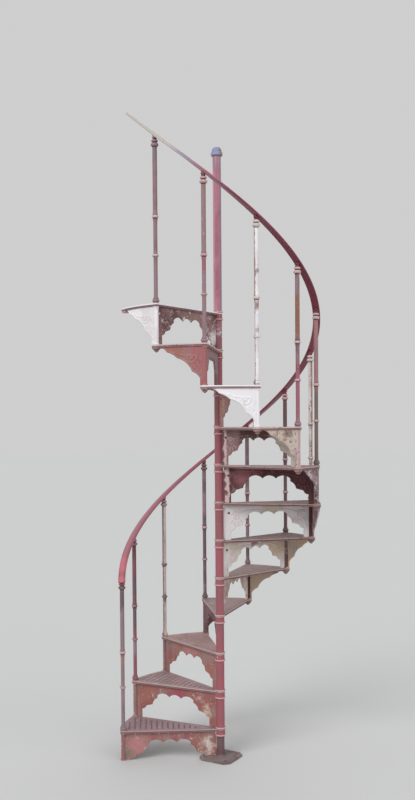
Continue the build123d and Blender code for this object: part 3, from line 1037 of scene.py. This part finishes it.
# Strings: curved side brackets with a lobed lower edge, and the corner posts. Places on
# them are along the curve back from the post and down from the tread's top.
string = {
    "thickness": 0.008,
    "radius": 0.598,
    "top": -0.017,
    "postRadius": 0.0145,
    "pitch": 0.0031,
    "borders": ((0.0058, 0.0046, 0.0036), (0.0165, 0.0022, 0.0014)),
    "eye": (-0.076, -0.078),
    "eyeButton": (0.0080, 0.0036),
    "volute": (0.034, 0.008, 20, -1.4),
    "voluteRib": (0.0056, 0.0036, 0.0030),
    "stem": (-0.200, -0.036, 0.012),
    "stemRib": (0.0050, 0.0020, 0.0026),
    "leaves": (  # root and tip
        ((-0.108, -0.082), (-0.126, -0.104)),
        ((-0.120, -0.062), (-0.152, -0.064)),
        ((-0.152, -0.048), (-0.182, -0.052)),
        ((-0.060, -0.112), (-0.050, -0.146)),
        ((-0.040, -0.100), (-0.022, -0.150)),
        ((-0.028, -0.070), (-0.014, -0.110)),
    ),
    "leafSize": (0.0075, 0.0028),
    "drop": ((-0.018, -0.152), (-0.012, -0.214)),
    "dropRib": (0.0055, 0.0022, 0.0024),
    "edgeFade": (0.0010, 0.003),
}


def stringLobes():
    return drawn(
        (-0.258, string["top"]), (-0.216, -0.045, 0.005), (-0.154, -0.079, 0.005),
        (-0.068, -0.153, 0.014, 14), (-0.024, -0.190, 0.005),
    )


def stringOutline(footDepth):
    # As seen from outside, anticlockwise
    lobes = [point for point in stringLobes() if point[1] > -footDepth + 0.001]
    cut = -0.024 if footDepth > 0.19 else -0.033
    return [(0.0, string["top"]), *lobes, (cut, -footDepth), (0.0, -footDepth)]


def stringRelief(points, gap):
    layers = [border(points, stringLobes(), *sizes) for sizes in string["borders"]]
    scroll = spiral(string["eye"], *string["volute"])
    layers.append(ridge(points, scroll, *string["voluteRib"]))
    layers.append(button(points, string["eye"], *string["eyeButton"]))
    layers.append(ridge(points, drawn(scroll[0], string["stem"]), *string["stemRib"]))
    layers += [leaf(points, root, tip, *string["leafSize"]) for root, tip in string["leaves"]]
    layers.append(ridge(points, string["drop"], *string["dropRib"]))
    return np.max(layers, 0) * faded(gap, *string["edgeFade"])


def bent(shape, radius):
    # Wraps a flat panel round the newel's axis, its x = 0 edge on the +X line
    points, faces = shape
    angle = -points[:, 0] / radius
    reach = radius - points[:, 1]
    return np.stack([reach * np.cos(angle), -reach * np.sin(angle), points[:, 2]], 1), faces


clean = {"hollowShare": 0.15, "crestShare": 0.0}
stringCoats = coatRows(
    "top shade under flakes rust streaks",
    ("mauveBrown", "oxideRed", "cream", 0.3, 0.4, 0.3),
    ("brownPink", "mauveBrown", "cream", 0.3, 0.4, 0.3),
    ("mauveBrown", "brownPink", "cream", 0.25, 0.3, 0.3),
    ("mauveBrown", "plum", "cream", 0.25, 0.3, 0.3),
    ("ochreCream", "ochreCream", "cream", 0.2, 0.2, 0.25),
    ("straw", "ochreCream", "cream", 0.2, 0.15, 0.2),
    ("cream", "mauve", "chalk", 0.25, 0.2, 0.2),
    ("mauve", "plum", "chalk", 0.35, 0.3, 0.2),
    ("ochreCream", "cream", "brownPink", 0.4, 0.35, 0.2),
    ("coldWhite", "coldWhite", "coldWhite", 0.1, -0.2, -0.2, clean),
    ("dustyRose", "brownPink", "salmon", 0.25, 0.1, 0.25, {"crestShare": 0.12}),
    ("coldWhite", "chalk", "coldWhite", 0.1, -0.2, -0.2, clean),
)
stringPatches = {  # by step: paint, along the string, depth, radius, ragged
    4: [("greyBrown", -0.22, -0.03, 0.05, 0.04)],
    5: [("cream", -0.07, -0.10, 0.08, 0.04)],
    8: [("greyBrown", -0.10, -0.03, 0.04, 0.04), ("edgePink", -0.02, -0.15, 0.05, 0.03)],
    10: [("dustyOrange", -0.11, -0.10, 0.03, 0.03), ("brick", -0.17, -0.03, 0.06, 0.03)],
}
# Posts in another colour: the dark posts of steps 5 to 7 are painted shade, where they stand in shadow under
# the treads; step 9's post is paler
postPaints = {4: "maroon", 5: "plum", 6: "maroon", 8: "ringPink"}  # by step: posts of another colour


def postShape(footDepth):
    radius, top, foot = string["postRadius"], string["top"], -footDepth
    profile = [(radius + 0.003, foot), (radius + 0.003, foot + 0.006)]
    profile += [(radius - 0.001, level) for level in (foot + 0.010, foot + 0.02, top - 0.02, top - 0.010)]
    profile += [(radius + 0.002, top - 0.006), (radius + 0.002, top)]
    return lifted(turned(profile, 28), flight["cornerRadius"], 0, 0)


def stringSpot(step, along, depth):
    return stepPlace(step) @ onCircle(string["radius"], along / string["radius"], depth)


def buildStrings():
    panels = []
    for depth in (flight["firstTop"], flight["rise"]):
        panel, marks = castPanel(stringOutline(depth), string["thickness"], stringRelief, string["pitch"])
        panels.append((joined(bent(panel, string["radius"]), postShape(depth)), marks))
    for step in range(flight["steps"]):
        number = f"{step + 1:02d}"
        patches = patchesOn(stringPatches.get(step, ()), lambda *at: stringSpot(step, *at))
        coat = {"seed": 40.0 + step, "flakeScale": 30.0, "patches": patches, **stringCoats[step]}
        if step in postPaints:
            # The post in its own colour, on steps 5 to 7 a painted shade
            onwards = tuple(onCircle(1, heading(step) + math.pi / 2, 0))
            coat["slopes"] = [(postPaints[step], onwards, -0.018, -0.013, 0.006)]
        paint = ironPaint(f"stringPaint{number}", **coat)
        panel, marks = panels[min(step, 1)]
        shape = moved(panel, stepPlace(step))
        putPiece(f"side_bracket_{number}", shape, paint, [f"string_{number}"], marks)


buildStrings()
print("strings made")


# Treads: wedge plates with a moulded edge, worn grooves, a hub and an eye at the back
tread = {
    "thickness": 0.008,
    "rimDepth": 0.017,
    "rimWidth": 0.024,
    "overhang": 0.020,
    "rearMargin": 0.012,
    "innerEnd": 0.012,
    "cornerCut": 0.010,
    "cornerBulge": 0.0028,
    "hubRadius": 0.028,
    "lugRadius": 0.026,
    "lugBossRadius": 0.022,
    "lugBossDrop": 0.009,
    "eyeRadius": 0.0085,
    "rimPoints": 30,
    "sidePoints": 14,
    "flatInset": 0.017,
    "grooves": 14,
    "firstGroove": 0.118,
    "groovePitch": 0.0335,
    "grooveWidth": 0.011,
    "grooveDepth": 0.0022,
    "grooveShrink": (0.80, 0.985),  # of a groove's floor, across and along
    "grooveFront": -0.010,
    "grooveRear": 0.030,  # clear of the rear edge
    "grooveRim": 0.034,  # clear of the outer edge
    "shortestGroove": 0.025,
}


def treadLoop(setIn):
    # The tread's outline, set in by that much, clockwise from the newel along the front
    radius = flight["edgeRadius"] - setIn
    front = tread["overhang"] - setIn
    margin = tread["rearMargin"] - setIn
    turn, start, count = math.radians(flight["turn"]), tread["innerEnd"], tread["sidePoints"]
    corner = math.asin(front / radius)
    frontEnd = radius * math.cos(corner) - tread["cornerCut"]
    lead = corner - tread["cornerCut"] / radius
    loop = [(start + (frontEnd - start) * index / (count - 1), front) for index in range(count)]
    loop += arcPoints(loop[-1], onCircle(radius, lead, 0).xy, tread["cornerBulge"], 5)[:-1]
    rearLag = math.asin(margin / radius)
    finish = -turn - rearLag
    for index in range(tread["rimPoints"] + 1):
        angle = lead + (finish - lead) * index / tread["rimPoints"]
        loop.append((radius * math.cos(angle), radius * math.sin(angle)))
    across = Vector((math.cos(-turn), math.sin(-turn)))
    back = Vector((math.sin(-turn), -math.cos(-turn))) * margin
    rearEnd = radius * math.cos(rearLag)
    for index in range(1, count):
        loop.append(tuple(across * (rearEnd + (start - rearEnd) * index / (count - 1)) + back))
    return loop


def mouldedEdge():
    # Inset and height pairs: top bead, hollow, lower bead, then in under the rim
    width, rim, under = tread["rimWidth"], -tread["rimDepth"], -tread["thickness"]
    return [
        (tread["flatInset"], 0.0), (0.0115, 0.0), (0.0100, -0.0010), (0.0088, -0.0006),
        *ovalArc((0.0045, -0.0046), (0.0045, 0.0044), 100, 150, 9),
        (0.0060, -0.0100),
        *ovalArc((0.0040, -0.0136), (0.0032, 0.0031), 130, 130, 7),
        (0.008, rim), (width - 0.001, rim), (width, rim + 0.001),
        (width, under - 0.001), (width + 0.001, under),
    ]


def grooveLoops():
    # Round-ended grooves square to the nosing, as long as the wedge allows
    half, near = tread["grooveWidth"] / 2, tread["grooveFront"]
    angles = np.r_[np.linspace(0, math.pi, 9), np.linspace(math.pi, 2 * math.pi, 9)]
    loops = []
    for index in range(tread["grooves"]):
        across = tread["firstGroove"] + tread["groovePitch"] * index
        rear = tread["grooveRear"] - across * math.tan(math.radians(flight["turn"]))
        chord = (flight["edgeRadius"] - tread["grooveRim"]) ** 2 - across ** 2
        far = max(rear, -math.sqrt(max(chord, 0.0)))
        if near - far >= tread["shortestGroove"]:
            ends = np.r_[np.full(9, near - half), np.full(9, far + half)]
            loops.append(list(zip(across + half * np.cos(angles), ends + half * np.sin(angles))))
    return loops


def hubShape():
    hub, depth = tread["hubRadius"], newel["hubDepth"]
    profile = [(hub - 0.003, -depth), (hub, -depth + 0.003), (hub - 0.0015, -depth + 0.010)]
    profile += [(hub - 0.0015, -0.008), (hub, -0.003), (hub - 0.002, 0.0)]
    return turned(profile, 40, newel["bore"])


def lugShapes(openEye):
    # The eye at the rear corner, with a nut and bolt end under it where it is closed
    lug, boss, rim = tread["lugRadius"], tread["lugBossRadius"], -tread["rimDepth"]
    bottom = rim - tread["lugBossDrop"]
    profile = [(boss - 0.003, bottom), (boss, bottom + 0.003), (boss, rim - 0.001), (lug - 0.003, rim)]
    profile += [(lug, rim + 0.003), (lug - 0.0015, -0.0105), (lug, -0.007), (lug, -0.003), (lug - 0.003, 0.0)]
    if openEye:
        return [turned(profile, 32, tread["eyeRadius"])]
    nut = lifted(hexNut(0.024, 0.010), 0, 0, bottom - 0.010)
    end = turned([(0.0040, 0.0), (0.0055, 0.0015), (0.0055, 0.009)], 20)
    return [turned(profile, 32), nut, lifted(end, 0, 0, bottom - 0.015)]


def treadShape(openEye):
    # Also returns marks for its first points, 1 on the groove floors
    edges = [[(x, y, height) for x, y in reversed(treadLoop(setIn))] for setIn, height in mouldedEdge()]
    grooves = grooveLoops()
    parts, marks = [], []
    for rim in grooves:
        middle = np.mean(rim, 0)
        floor = middle + (np.array(rim) - middle) * tread["grooveShrink"]
        loops = [atHeight((rim, ()), 0.0)[0], atHeight((floor, ()), -tread["grooveDepth"])[0]]
        parts.append(stitched(loops, capStart=False))
        marks += [0] * len(rim) + [1] * len(floor)
    top = atHeight(filledOutline(treadLoop(tread["flatInset"]), grooves), 0.0)
    parts += [stitched(edges, capStart=False), top, hubShape()]
    for shape in lugShapes(openEye):
        parts.append(lifted(shape, *onCircle(flight["cornerRadius"], -math.radians(flight["turn"]), -0.0002)))
    return joined(*parts), marks


treadCoats = coatRows(
    "top shade rust bead",
    ("treadMauve", "mauve", 0.15, "treadPink", {"crestShare": 0.7}),
    ("treadMauve", "treadPink", 0.15, "beadPink"),
    ("treadPink", "brownPink", 0.2, "beadPink"),
    ("treadBrown", "treadMauve", 0.2, "beadPink"),
    ("treadBrown", "treadMauve", 0.2, "beadPink"),
    ("treadDark", "treadDark", 0.25, "treadPink"),
    ("treadBrown", "treadDark", 0.25, "treadPink"),
    ("treadPink", "treadBrown", 0.15, "beadPink"),
    ("treadPink", "mauve", 0.15, "edgePink"),
    ("ringPink", "treadPink", 0.15, "coldWhite", {"breaks": 0.15}),
    ("treadPink", "salmon", 0.15, "edgePink"),
    ("treadPink", "mauveBrown", 0.2, "coldWhite", {"breaks": 0.2}),
)
# Lug eyes: the dark paint on steps 5 and 6 is painted shade, where the eyes sit under the treads
lugPaints = {4: "darkRustAndShade", 5: "darkRustAndShade", 11: "ringPink"}  # by step, where it isn't plum


def buildTreads():
    shared = {"under": "edgePink", "flakes": 0.26, "streaks": 0.2, "edgeShare": 0.3, "hollowShare": 0.7}
    shared.update({"roughness": 0.7, "crest": "darkMauve", "crestShare": 0.5})
    plain, last = treadShape(False), treadShape(True)
    for step in range(flight["steps"]):
        number = f"{step + 1:02d}"
        top = treadTop(step)
        coat = {**shared, "seed": 70.0 + step, "bandBase": top, **treadCoats[step]}
        # The moulded edge in bands: the top bead lighter, partly a painted highlight; the hollow under it
        # darker, rust colour and painted shade; the lower bead in mauve brown
        coat["bands"] = [
            (coat.pop("bead"), -0.0088, -0.0003, 0.0008, coat.pop("breaks", 0.40)),
            ("darkRustAndShade", -0.0118, -0.0085, 0.0010, 0.30),
            ("mauveBrown", -0.0166, -0.0120, 0.0010, 0.40),
        ]
        coat["patches"] = [
            ("newelRed", (0, 0, top - 0.018), 0.046, 0.012),
            # the eye at the rear corner, in painted shade on steps 5 and 6
            (lugPaints.get(step, "plum"), tuple(cornerPlace(step + 1, top - 0.042)), 0.034, 0.010),
        ]
        paint = ironPaint(f"treadPaint{number}", **coat)
        wedge, marks = last if step == flight["steps"] - 1 else plain
        shape = moved(wedge, stepPlace(step))
        putPiece(f"tread_plate_{number}", shape, paint, [f"tread_{number}"], marks)


buildTreads()
print("treads made")


# Balusters: one turned pattern, each with its own coats
baluster = {
    "height": 0.904,
    "lowerRadius": 0.0112,
    "upperRadius": 0.0128,
    "sides": 28,
    "bands": [  # paint or part, low, high, breaks
        # Maroon bands are painted shade in the grooves beside the beads. Ring and head bands colour the
        # beads, mostly lighter than the shaft, as painted highlights.
        ("ring", 0.256, 0.269, 0.50),
        ("ring", 0.467, 0.482, 0.40),
        ("maroon", 0.4605, 0.4665, 0.40),
        ("maroon", 0.8510, 0.8565, 0.40),
        ("head", 0.8575, 0.8750, 0.35),
        ("maroon", 0.8750, 0.8806, 0.30),
        ("head", 0.8806, 0.8940, 0.35),
        ("maroon", 0.8945, 0.9060, 0.30),
    ],
}


def balusterProfile():
    low, high, top = baluster["lowerRadius"], baluster["upperRadius"], baluster["height"]
    profile = [(0.0160, 0.0), (0.0160, 0.003), (0.0140, 0.0055)]
    profile += bead(0.0145, 0.0138, 0.0200, 0.0088, 9)
    profile += [(0.0138, 0.0245), (0.0155, 0.0265), (0.0155, 0.0295), (0.0122, 0.032)]
    profile += [(low, level) for level in (0.040, 0.08, 0.12, 0.16, 0.20, 0.235, 0.250)] + [(0.0130, 0.2535)]
    profile += bead(0.262, 0.0130, 0.0188, 0.006, 9) + [(0.0130, 0.2705)]
    profile += [(low, level) for level in (0.274, 0.30, 0.34, 0.38, 0.42, 0.448)]
    profile += [(0.0125, 0.4515), (0.0125, 0.456), (0.0135, 0.4645)]
    profile += bead(0.474, 0.0135, 0.0190, 0.0068, 9)
    profile += [(0.0138, 0.4838), (0.0145, 0.488), (0.0145, 0.492)]
    profile += [(high, level) for level in (0.496, 0.54, 0.59, 0.64, 0.69, 0.74, 0.79, 0.83)]
    profile += [(0.0122, top - 0.060), (0.0132, top - 0.0495)]
    profile += bead(top - 0.038, 0.0140, 0.0219, 0.0088, 9) + [(0.0128, top - 0.0268)]
    profile += bead(top - 0.017, 0.0125, 0.0188, 0.0062, 9)
    return profile + [(0.0115, top - 0.0085), (0.0115, top)]


balusterCoats = coatRows(
    "top shade under flakes rust ring",
    ("greyMauve", "mauve", "darkMauve", 0.2, 0.2, "ringPink", {"head": "plum"}),
    ("newelDull", "plum", "greyMauve", 0.25, 0.15, "mauve"),
    ("mauve", "greyMauve", "cream", 0.25, 0.15, "greyBrown", {"head": "treadPink"}),
    ("darkMauve", "mauve", "greyMauve", 0.2, 0.2, "ringPink", {"head": "plum"}),
    ("darkMauve", "mauve", "greyMauve", 0.2, 0.2, "ringPink"),
    ("darkMauve", "plum", "greyMauve", 0.2, 0.2, "ringPink"),
    ("chalk", "cream", "mauve", 0.35, 0.2, "cream"),
    ("mauve", "salmon", "edgePink", 0.2, 0.2, "edgePink"),
    ("mauve", "plum", "orangeRust", 0.3, 0.15, "edgePink"),
    ("chalk", "coldWhite", "brownPink", 0.26, -0.1, "cream", {"streaks": -0.1}),
    ("mauve", "brownPink", "edgePink", 0.25, 0.15, "ringPink"),
    ("mauve", "mauveBrown", "edgePink", 0.15, 0.2, "edgePink", {"head": "tallMauve"}),
)
balusterPatches = {  # by step: paint, height, radius, ragged
    0: [("brownPink", 0.43, 0.04, 0.02), ("darkMauve", 0.80, 0.08, 0.03)],
    1: [("darkMauve", 0.58, 0.08, 0.05), ("mauve", 0.22, 0.09, 0.05), ("darkMauve", 0.39, 0.09, 0.04)],
    2: [("oliveDirt", 0.25, 0.05, 0.04)],
    3: [("darkMauve", 0.36, 0.16, 0.05)],
    7: [("greyBrown", 0.22, 0.26, 0.06)],
    8: [("rust", 0.62, 0.15, 0.06), ("railMauve", 0.20, 0.18, 0.06)],
    9: [("brownPink", 0.43, 0.034, 0.02), ("brownPink", 0.62, 0.02, 0.02), ("brownPink", 0.30, 0.02, 0.02)],
    10: [("railMauve", 0.42, 0.05, 0.03), ("mauve", 0.20, 0.16, 0.05)],
    11: [("greyMauve", 0.85, 0.1, 0.04)],
}
balusterSides = {  # by step: paint of one side, the way it faces, offset
    2: ("cream", 1, -0.001),
    6: ("brownPink", 1, 0.002),
    9: ("brownPink", -1, 0.0085),
}


def buildBalusters():
    shape = turned(balusterProfile(), baluster["sides"])
    for step in range(flight["steps"]):
        number = f"{step + 1:02d}"
        group = ("balusters_lower", "balusters_middle", "balusters_upper")[step // 4]
        foot = treadTop(step)
        place = cornerPlace(step, foot)
        coat = {"seed": 100.0 + step, "flakeScale": 36.0, "edgeShare": 0.6, "crestShare": 0.0}
        coat.update(balusterCoats[step], bandBase=foot)
        parts = {"ring": coat.pop("ring")}
        parts["head"] = coat.pop("head", parts["ring"])
        # Bands of painted highlight on the beads and painted shade in the grooves
        coat["bands"] = [
            (parts.get(part, part), low, high, 0.001, breaks) for part, low, high, breaks in baluster["bands"]
        ]
        coat["patches"] = patchesOn(balusterPatches.get(step, ()), lambda up: cornerPlace(step, foot + up))
        if step in balusterSides:
            sidePaint, way, offset = balusterSides[step]
            start = place.x * way + offset
            coat["slopes"] = [(sidePaint, (way, 0, 0), start - 0.003, start + 0.003, 0.02)]
        paint = ironPaint(f"balusterPaint{number}", **coat)
        putPiece(f"baluster_{number}", lifted(shape, *place), paint, [group])


buildBalusters()
print("balusters made")


# Handrail: crowned bar on the helix, with a straight run at its upper end and a boss over each baluster
rail = {
    "height": 0.916,
    "width": 0.0425,
    "thickness": 0.019,
    "flat": 0.006,
    "edgeCut": 0.0015,
    "crownPoints": 13,
    "startLength": 0.026,
    "roundedEnd": (  # distance from the start, and the section's size there
        (-0.0088, 0.30), (-0.0080, 0.58), (-0.0058, 0.80), (-0.0028, 0.95), (0.0, 1.02),
        (0.006, 1.03), (0.014, 1.0),
    ),
    "runOn": 0.243,
    "runShares": (0.25, 0.5, 0.75, 0.995, 1.0),
    "thinned": 0.22,
    "endSize": 0.94,
    "bossRadius": 0.0155,
    "bossDrop": 0.012,
    "sectionsEachStep": 14,
    # Lighter paint over the top of the crown, worn paint and a painted highlight, from side to side
    "wear": (0.1, 0.4, 0.7, 0.95, 1, 0.95, 0.7, 0.4, 0.1),  # over the crown, from side to side
}
railClimb = flight["rise"] / math.radians(flight["turn"])
railSlope = math.atan(railClimb / flight["cornerRadius"])


def railFrame(turnAngle, runOn=0.0):
    angle = math.radians(flight["start"] - turnAngle)
    height = flight["firstTop"] + rail["height"] + railClimb * math.radians(turnAngle)
    outwards = Vector((math.cos(angle), math.sin(angle), 0))
    onwards = Vector((math.sin(angle), -math.cos(angle), 0))
    along = onwards * math.cos(railSlope) + Vector((0, 0, math.sin(railSlope)))
    origin = outwards * flight["cornerRadius"] + Vector((0, 0, height)) + along * runOn
    return origin, outwards, along.cross(outwards)


def railSection(place, share=1.0, thin=1.0):
    origin, outwards, upwards = place
    half, thick, flat, cut = rail["width"] / 2, rail["thickness"] * thin, rail["flat"] * thin, rail["edgeCut"]
    crown = ovalArc((0.0, flat), (half, thick - flat), 180, -180, rail["crownPoints"] + 2)
    outline = [(-half + cut, 0.0), (-half, cut), *crown, (half, cut), (half - cut, 0.0)]
    middle = thick * 0.4
    points = []
    for across, height in outline:
        points.append(origin + outwards * (across * share) + upwards * (middle + (height - middle) * share))
    return points


def railLoops():
    startTurn = -math.degrees(rail["startLength"] * math.cos(railSlope) / flight["cornerRadius"])
    loops = [railSection(railFrame(startTurn, run), share) for run, share in rail["roundedEnd"]]
    fullTurn = flight["turn"] * (flight["steps"] - 1)
    count = rail["sectionsEachStep"] * (flight["steps"] - 1)
    loops += [railSection(railFrame(fullTurn * index / count)) for index in range(count + 1)]
    for share in rail["runShares"]:
        size = rail["endSize"] if share == 1.0 else 1.0
        thin = 1 - rail["thinned"] * min(share * 2, 1)
        loops.append(railSection(railFrame(fullTurn, rail["runOn"] * share), size, thin))
    return loops


def buildHandrail():
    # Colours up the rail by height. The deeper crimson higher up is the rail's paint and also painted shade,
    # where the rail is seen from below.
    slopes = [
        ("railMauve", (0, 0, 1), 1.16, 1.32, 0.12),
        ("railDark", (0, 0, 1), 1.45, 2.00, 0.2),
        ("railDeep", (0, 0, 1), 2.66, 2.96, 0.1),
        ("railMauve", (0, 0, 1), 3.24, 3.42, 0.1),
        ("railLilac", (0, 0, 1), 3.39, 3.47, 0.06),
        ("railGrey", (0, 0, 1), 3.47, 3.56, 0.06),
    ]
    paint = ironPaint(
        "railPaint", top="railRose", shade="newelRed", under="edgePink", flakes=0.08, flakeScale=70.0,
        rust=0.02, streaks=0.05, edgeShare=0.12, hollowShare=0.1, roughness=0.42, gloss=0.25,
        seed=150.0, slopes=slopes, crestShare=0.10,
    )
    loops = railLoops()
    # The top of the crown marked for lighter paint: worn paint and a painted highlight
    flat = [0] * ((len(loops[0]) - len(rail["wear"])) // 2)
    crownWearAndHighlight = np.tile([*flat, *rail["wear"], *flat], len(loops))
    profile = [(0.0110, 0.0), (0.0112, 0.002), *bead(0.0065, 0.0125, rail["bossRadius"], 0.0038)]
    boss = turned([*profile, (0.0120, rail["bossDrop"] + 0.006)], 24)
    parts = [stitched(loops)]
    for step in range(flight["steps"]):
        parts.append(lifted(boss, *cornerPlace(step, treadTop(step) + baluster["height"])))
    putPiece("handrail_bar", joined(*parts), paint, ["handrail"], crownWearAndHighlight)


buildHandrail()
print("handrail made")


# Foot plate: square with clipped corners and four bolt holes
plate = {
    "side": 0.212,
    "cut": 0.031,
    "turn": -29.0,
    "boltCircle": 0.200,
    "hole": 0.009,
    "edge": ((0.0, -0.014), (0.0, -0.002), (0.0006, -0.0006), (0.002, 0.0)),  # inset, under the top
}


def plateLoop(setIn):
    half, short = plate["side"] / 2, plate["side"] / 2 - plate["cut"]
    corners = [(half, short), (short, half), (-short, half), (-half, short)]
    corners += [(-x, -y) for x, y in corners]
    turn = Matrix.Rotation(math.radians(plate["turn"]), 2)
    return [tuple(turn @ Vector(point)) for point in inset(corners, setIn)]


def buildPlate():
    thick = newel["plateThickness"]
    holes = []
    for index in range(4):
        angle = math.radians(plate["turn"] + 45 + 90 * index)
        ring = circle(plate["hole"], 0.0, 28, onCircle(plate["boltCircle"] / 2, angle, 0))
        holes.append([tuple(point[:2]) for point in ring])
    top = atHeight(filledOutline(plateLoop(plate["edge"][-1][0]), holes), thick)
    points, faces = atHeight(filledOutline(plateLoop(0.0), holes), 0.0)
    bottom = (points, [tuple(reversed(face)) for face in faces])
    sides = [[(*point, thick + height) for point in plateLoop(setIn)] for setIn, height in plate["edge"]]
    parts = [top, bottom, stitched(sides, False, False)]
    for loop in holes:
        wall = [[(x, y, height) for x, y in reversed(loop)] for height in (0.0, thick)]
        parts.append(stitched(wall, False, False))
    paint = ironPaint(
        "platePaint", top="plateBrown", shade="footPlum", under="plateDirt", flakes=0.35, rust=0.3,
        streaks=0.1, seed=170.0, roughness=0.8, edge="greyDirt", crestShare=0.0,
    )
    putPiece("foot_plate", joined(*parts), paint, ["base_plate"])


buildPlate()
print("foot plate made")
